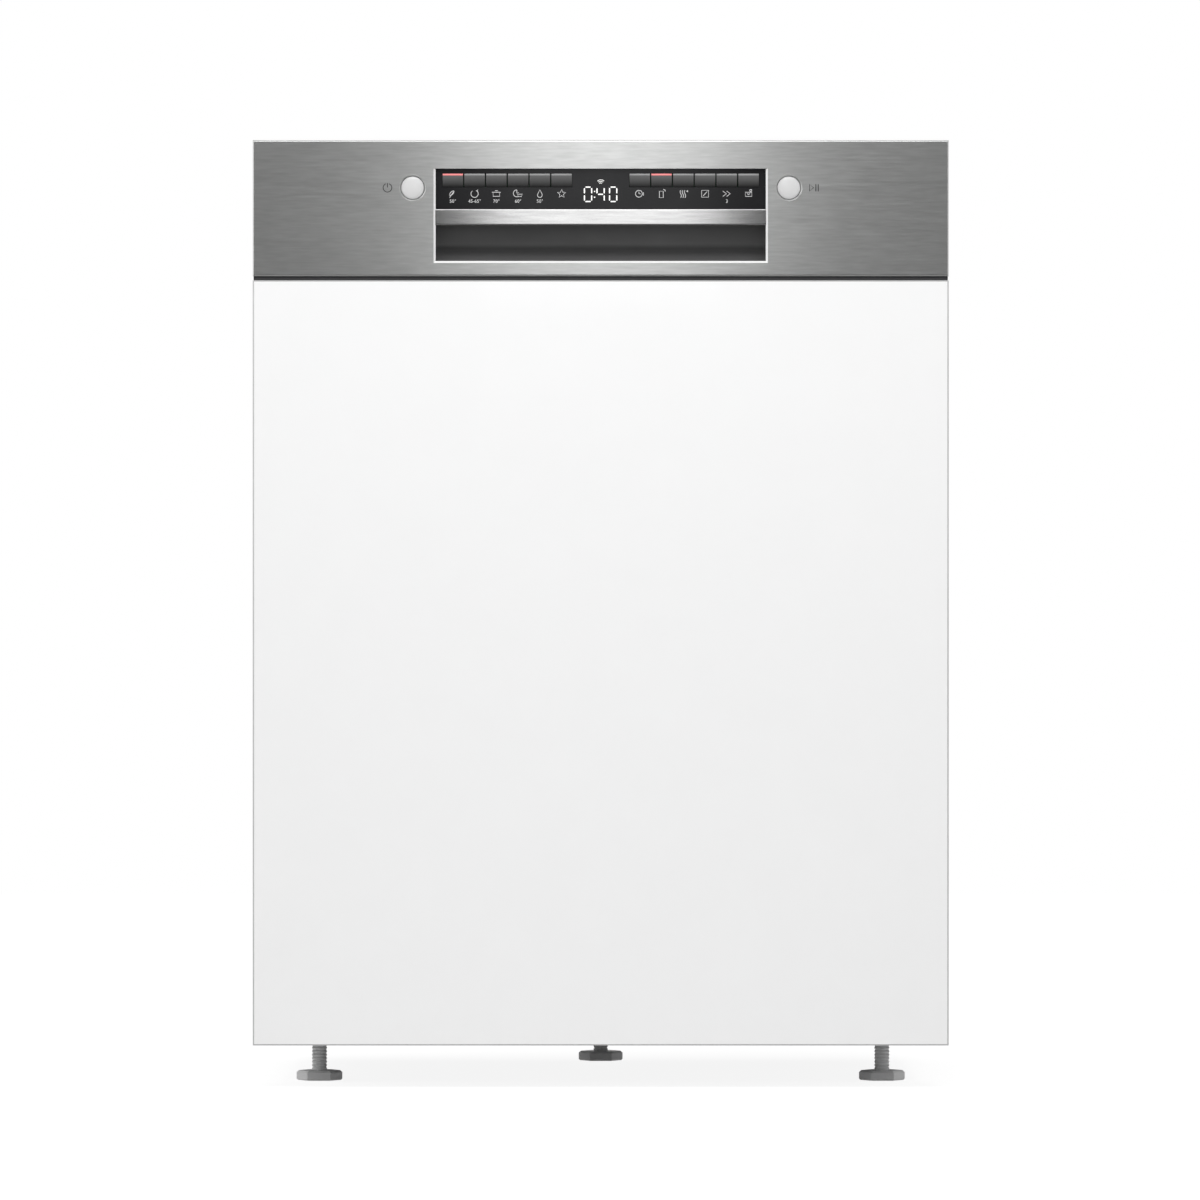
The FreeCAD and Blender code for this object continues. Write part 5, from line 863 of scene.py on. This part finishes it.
# Spray arms
def make_arm_details(node, shows_hub):
    """Raised lips round the spray slots and, on the lower arm, the ribbed nut on its hub."""
    low, high = box(node)
    centre = (low + high) / 2
    reach = (high.x - low.x) / 2
    offset = 3.25 * MM
    lip = ring_section(3.6, 0.6, 6)
    form = bmesh.new()
    for number in range(2, 6):
        for side in (-1, 1):
            spot = Vector((side * reach / 6 * number, centre.y + side * offset, high.z))
            turned(form, lip, spot, UP, 20, closed=True)
    if shows_hub:
        nut = [(0, -0.5), (15, -0.5), (15, 0.6), (12.5, 1.0, 12), (12.5, 3.6, 12), (10.5, 4.4), (0, 4.4)]
        turned(form, in_mm(nut), Vector((centre.x, centre.y, high.z)), UP, 72)
    piece(f"{node}_details", form, LIGHT_PLASTIC, node, "grey_plastic")


# The door's inside
def make_lid_ribs(face):
    """Three grip ribs on the detergent's sliding lid."""
    low, high = box("dispenser_lid")
    x, half = (low.x + high.x) / 2, 22 * MM
    form = bmesh.new()
    for step in range(3):
        level = low.z + (14 + 7 * step) * MM
        start = (x - half, face - 1 * MM, level)
        soft_box(form, start, (x + half, face + 0.9 * MM, level + 2 * MM), 0.6 * MM)
    piece("lid_ribs", form, LIGHT_PLASTIC, "dispenser_lid", "light_plastic")


def make_rinse_aid_dial(centre):
    """A fluted knob with a bar across it, in a collar."""
    collar = [(0, -0.5), (17, -0.5), (17, 0.5), (16, 0.9), (14.5, 0.9), (14.2, 0.3), (0, 0.3)]
    knob = [(0, 0), (12.5, 0), (12.5, 1.2, 16), (11.6, 2.0, 16), (4, 2.0), (0, 2.0)]
    grip = Vector((10.5, 0, 1.6)) * MM
    form = bmesh.new()
    turned(form, in_mm(collar), centre, INWARD)
    turned(form, in_mm(knob), centre, INWARD, 96)
    soft_box(form, centre - grip, centre + grip + INWARD * 4.2 * MM, 0.8 * MM)
    piece("rinse_aid_dial", form, LIGHT_PLASTIC, "door", "light_plastic")


def make_dial_ticks(centre):
    """Printed marks round the dial."""
    form = bmesh.new()
    for angle in spread(-120, 120, 6):
        way = Vector((math.sin(math.radians(angle)), 0, math.cos(math.radians(angle))))
        tube(form, [centre + way * 18.5 * MM, centre + way * 21.5 * MM], 0.4 * MM, 6, squash=0.3)
    piece("dial_ticks", form, PRINT_DARK, "door", "dark_plastic")


def make_dispenser_details():
    low, high = box("dispenser")
    centre = Vector((low.x + 137 * MM, high.y, low.z + 94 * MM))
    make_lid_ribs(high.y)
    make_rinse_aid_dial(centre)
    make_dial_ticks(centre)


def make_salt_cap():
    """A cap with a ribbed edge, a sunk ring and a bar to turn it by."""
    low, high = box("salt_cap")
    centre = Vector(((low.x + high.x) / 2, (low.y + high.y) / 2, high.z - 15 * MM))
    reach = (high.x - low.x) / 2
    form = bmesh.new()
    edge = [(0.94, 0, 20), (0.94, 7, 20), (0.86, 9), (0.66, 9), (0.62, 7.6), (0.34, 7.6), (0, 7.6)]
    profile = [(0, 0)]
    for share, height, *lobes in edge:
        profile.append((reach * share / (1 + LOBE if lobes else 1), height * MM, *lobes))
    turned(form, profile, centre, UP, 120)
    plug, stem = low.z - centre.z, 13 * MM
    turned(form, [(0, plug), (stem, plug), (stem, 1 * MM), (0, 1 * MM)], centre, UP, 32)
    length = reach * 0.8
    grip = (centre.x - length, centre.y - 3 * MM, centre.z + 6 * MM)
    soft_box(form, grip, (centre.x + length, centre.y + 3 * MM, high.z), 1.2 * MM)
    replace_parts(piece("salt_cap_ribbed", form, LIGHT_PLASTIC, "salt_cap", "light_plastic"), "salt_cap")


# Feet and water connections
def make_foot(node):
    """A six-sided pad on a threaded spindle."""
    low, high = box(node)
    centre = Vector(((low.x + high.x) / 2, (low.y + high.y) / 2, low.z))
    reach = (high.x - low.x) / 2
    form = bmesh.new()
    pad = [(0, 0), (0.94, 0), (1, 1.2), (1, 6.8), (0.9, 8.6), (0.45, 9), (0, 9)]
    turned(form, [(share * reach, height * MM) for share, height in pad], centre, UP, 6)
    pitch, count = 3 * MM, 30
    root, crest = 5.9 * MM, 6.7 * MM
    start = 8.5 * MM
    thread = [(0, start)]
    for turn in range(count):
        thread += [(root, start + pitch * turn), (crest, start + pitch * (turn + 0.5))]
    thread += [(root, start + pitch * count), (0, start + pitch * count)]
    turned(form, thread, centre, UP, 20)
    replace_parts(piece(f"{node}_threaded", form, PALE_FOOT, node, "dark_plastic"), node)


def make_connection(form, x, level, end, radius, pitch, rise, count):
    """A sleeve with ridges round a water connection, and a round mouth over its end."""
    bore = radius * 0.62
    lip, skin, depth = 0.5 * MM, 0.6 * MM, 8 * MM
    length = count * pitch + 1.5 * MM
    profile = [(radius - skin, 0)]
    for turn in range(count):
        profile += [(radius, pitch * turn), (radius + rise, pitch * (turn + 0.35))]
    profile += [(radius, pitch * count), (radius, length), (radius - lip, length + lip)]
    profile += [(bore + lip, length + lip), (bore, length), (bore, length - depth)]
    profile += [(radius - skin, length - depth)]
    turned(form, profile, Vector((x, end - length, level)), INWARD, 40, closed=True)


def make_connections():
    """The threaded water inlet and the barbed drain spigot."""
    low, high = box("water_connections")
    level = (low.z + high.z) / 2
    side = 150 * MM
    form = bmesh.new()
    make_connection(form, side, level, high.y, radius=13 * MM, pitch=2 * MM, rise=0.8 * MM, count=10)
    make_connection(form, -side, level, high.y, radius=10 * MM, pitch=5 * MM, rise=1.4 * MM, count=4)
    piece("connection_threads", form, DARK_PLASTIC, "machine", "dark_plastic")


make_button("power_button", "power_button_cap")
make_button("start_button", "start_button_cap")
make_control_strip()
make_fascia_symbols()
make_window_trim()
make_painted_shadow_strip()
make_panel_edging()
make_door_screws()
make_kick_plate_screws()
make_casing_screws()
lower_rack = Rack("lower_rack", 8)
make_lower_rack(lower_rack)
make_folding_row(lower_rack)
make_rack_grip(lower_rack)
make_upper_rack(Rack("upper_rack", 7))
make_cutlery_basket()
make_rail_ends()
make_wheel_caps(lower_rack)
make_arm_details("lower_spray_arm", True)
make_arm_details("upper_spray_arm", False)
make_dispenser_details()
make_salt_cap()
for foot in ("left_front_foot", "right_front_foot", "rear_foot"):
    make_foot(foot)
make_connections()


# The stage
WHITE = (1, 1, 1, 1)


def grey(shade):
    return (shade, shade, shade, 1)


def make_floor():
    """A floor that looks white and keeps the object's shadow, and lights it from below as pale grey."""
    size, below = 5, -0.2 * MM
    mesh = bpy.data.meshes.new("floor")
    corners = [(x * size, y * size, below) for x, y in ((-1, -1), (1, -1), (1, 1), (-1, 1))]
    mesh.from_pydata(corners, [], [(0, 1, 2, 3)])
    floor = bpy.data.objects.new("floor", mesh)
    SCENE.collection.objects.link(floor)
    material = bpy.data.materials.new("floor_white")
    material.use_nodes = True
    tree = material.node_tree
    tree.nodes.clear()
    pale = tree.nodes.new("ShaderNodeBsdfDiffuse")
    pale.inputs["Color"].default_value = grey(0.76)
    shaded = tree.nodes.new("ShaderNodeBsdfDiffuse")
    shaded.inputs["Color"].default_value = grey(0.25)
    glow = tree.nodes.new("ShaderNodeEmission")
    glow.inputs["Strength"].default_value = 0.89
    white = tree.nodes.new("ShaderNodeAddShader")
    mix = tree.nodes.new("ShaderNodeMixShader")
    output = tree.nodes.new("ShaderNodeOutputMaterial")
    tree.links.new(shaded.outputs[0], white.inputs[0])
    tree.links.new(glow.outputs[0], white.inputs[1])
    tree.links.new(seen_rays(tree), mix.inputs["Fac"])
    tree.links.new(pale.outputs[0], mix.inputs[1])
    tree.links.new(white.outputs[0], mix.inputs[2])
    tree.links.new(mix.outputs[0], output.inputs["Surface"])
    paint(floor, material)


def seen_rays(tree):
    """1 for the rays that show the background: those of the camera, of gloss and of glass."""
    path = tree.nodes.new("ShaderNodeLightPath")
    first = tree.nodes.new("ShaderNodeMath")
    first.operation = "MAXIMUM"
    second = tree.nodes.new("ShaderNodeMath")
    second.operation = "MAXIMUM"
    tree.links.new(path.outputs["Is Camera Ray"], first.inputs[0])
    tree.links.new(path.outputs["Is Glossy Ray"], first.inputs[1])
    tree.links.new(first.outputs[0], second.inputs[0])
    tree.links.new(path.outputs["Is Transmission Ray"], second.inputs[1])
    return second.outputs[0]


def make_world():
    """White to look at, and dimmer as a light."""
    world = bpy.data.worlds.new("studio")
    SCENE.world = world
    world.use_nodes = True
    tree = world.node_tree
    tree.nodes.clear()
    dim = tree.nodes.new("ShaderNodeBackground")
    dim.inputs["Color"].default_value = WHITE
    dim.inputs["Strength"].default_value = 0.51
    white = tree.nodes.new("ShaderNodeBackground")
    white.inputs["Color"].default_value = WHITE
    mix = tree.nodes.new("ShaderNodeMixShader")
    output = tree.nodes.new("ShaderNodeOutputWorld")
    tree.links.new(seen_rays(tree), mix.inputs["Fac"])
    tree.links.new(dim.outputs[0], mix.inputs[1])
    tree.links.new(white.outputs[0], mix.inputs[2])
    tree.links.new(mix.outputs[0], output.inputs["Surface"])


def make_card(name, left, right, path, shade):
    """A bent grey studio card in front of the object, for its steel to reflect."""
    mesh = bpy.data.meshes.new(name)
    corners = [(x, *place) for place in path for x in (left, right)]
    faces = [(low, low + 1, low + 3, low + 2) for low in range(0, len(corners) - 2, 2)]
    mesh.from_pydata(corners, [], faces)
    card = bpy.data.objects.new(name, mesh)
    SCENE.collection.objects.link(card)
    card.visible_camera = False
    card.visible_shadow = False
    card.visible_diffuse = False
    finish = Finish(name, (shade, shade, shade), 0.9)
    paint(card, finish.material)


def make_lamp(name, place, target, size, power):
    """A rectangular softbox that faces its target."""
    data = bpy.data.lights.new(name, "AREA")
    data.shape = "RECTANGLE"
    data.size, data.size_y = size
    data.energy = power
    lamp = bpy.data.objects.new(name, data)
    lamp.location = place
    lamp.rotation_euler = (Vector(target) - Vector(place)).to_track_quat("-Z", "Y").to_euler()
    SCENE.collection.objects.link(lamp)
    lamp.visible_camera = False


def make_camera():
    """Straight from the front, from far away, framed as the photograph is."""
    distance, seen_width, sensor = 8.0, 1.031, 36
    data = bpy.data.cameras.new("camera")
    data.sensor_width = sensor
    data.lens = sensor * distance / seen_width
    data.clip_end = 100
    camera = bpy.data.objects.new("camera", data)
    front = box("fascia")[0].y
    camera.location = (-0.0006, front - distance, 0.4198)
    camera.rotation_euler = (math.pi / 2, 0, 0)
    SCENE.collection.objects.link(camera)
    SCENE.camera = camera


make_floor()
make_world()
CARD_BEND = [(-0.55, 0.002), (-3.2, 0.002), (-3.2, 6.0)]
CARD_MIDDLE = 0.75
CARD_END = 3.0
make_card("front_card", -CARD_MIDDLE, CARD_MIDDLE, CARD_BEND, shade=0.1)
make_card("left_card", -CARD_END, -CARD_MIDDLE, CARD_BEND, shade=0.38)
make_card("right_card", CARD_MIDDLE, CARD_END, CARD_BEND, shade=0.38)
make_lamp("top_softbox", place=(0, -2.1, 2.6), target=(0, -0.28, 0.4), size=(2.6, 1.2), power=42)
make_lamp("fascia_light", place=(0, -1.35, 1.3), target=(0, -0.28, 0.78), size=(0.24, 1.3), power=2.5)
make_lamp("side_softbox", place=(-2.6, -0.6, 1.6), target=(0, 0, 0.4), size=(1.2, 1.8), power=10)
make_camera()
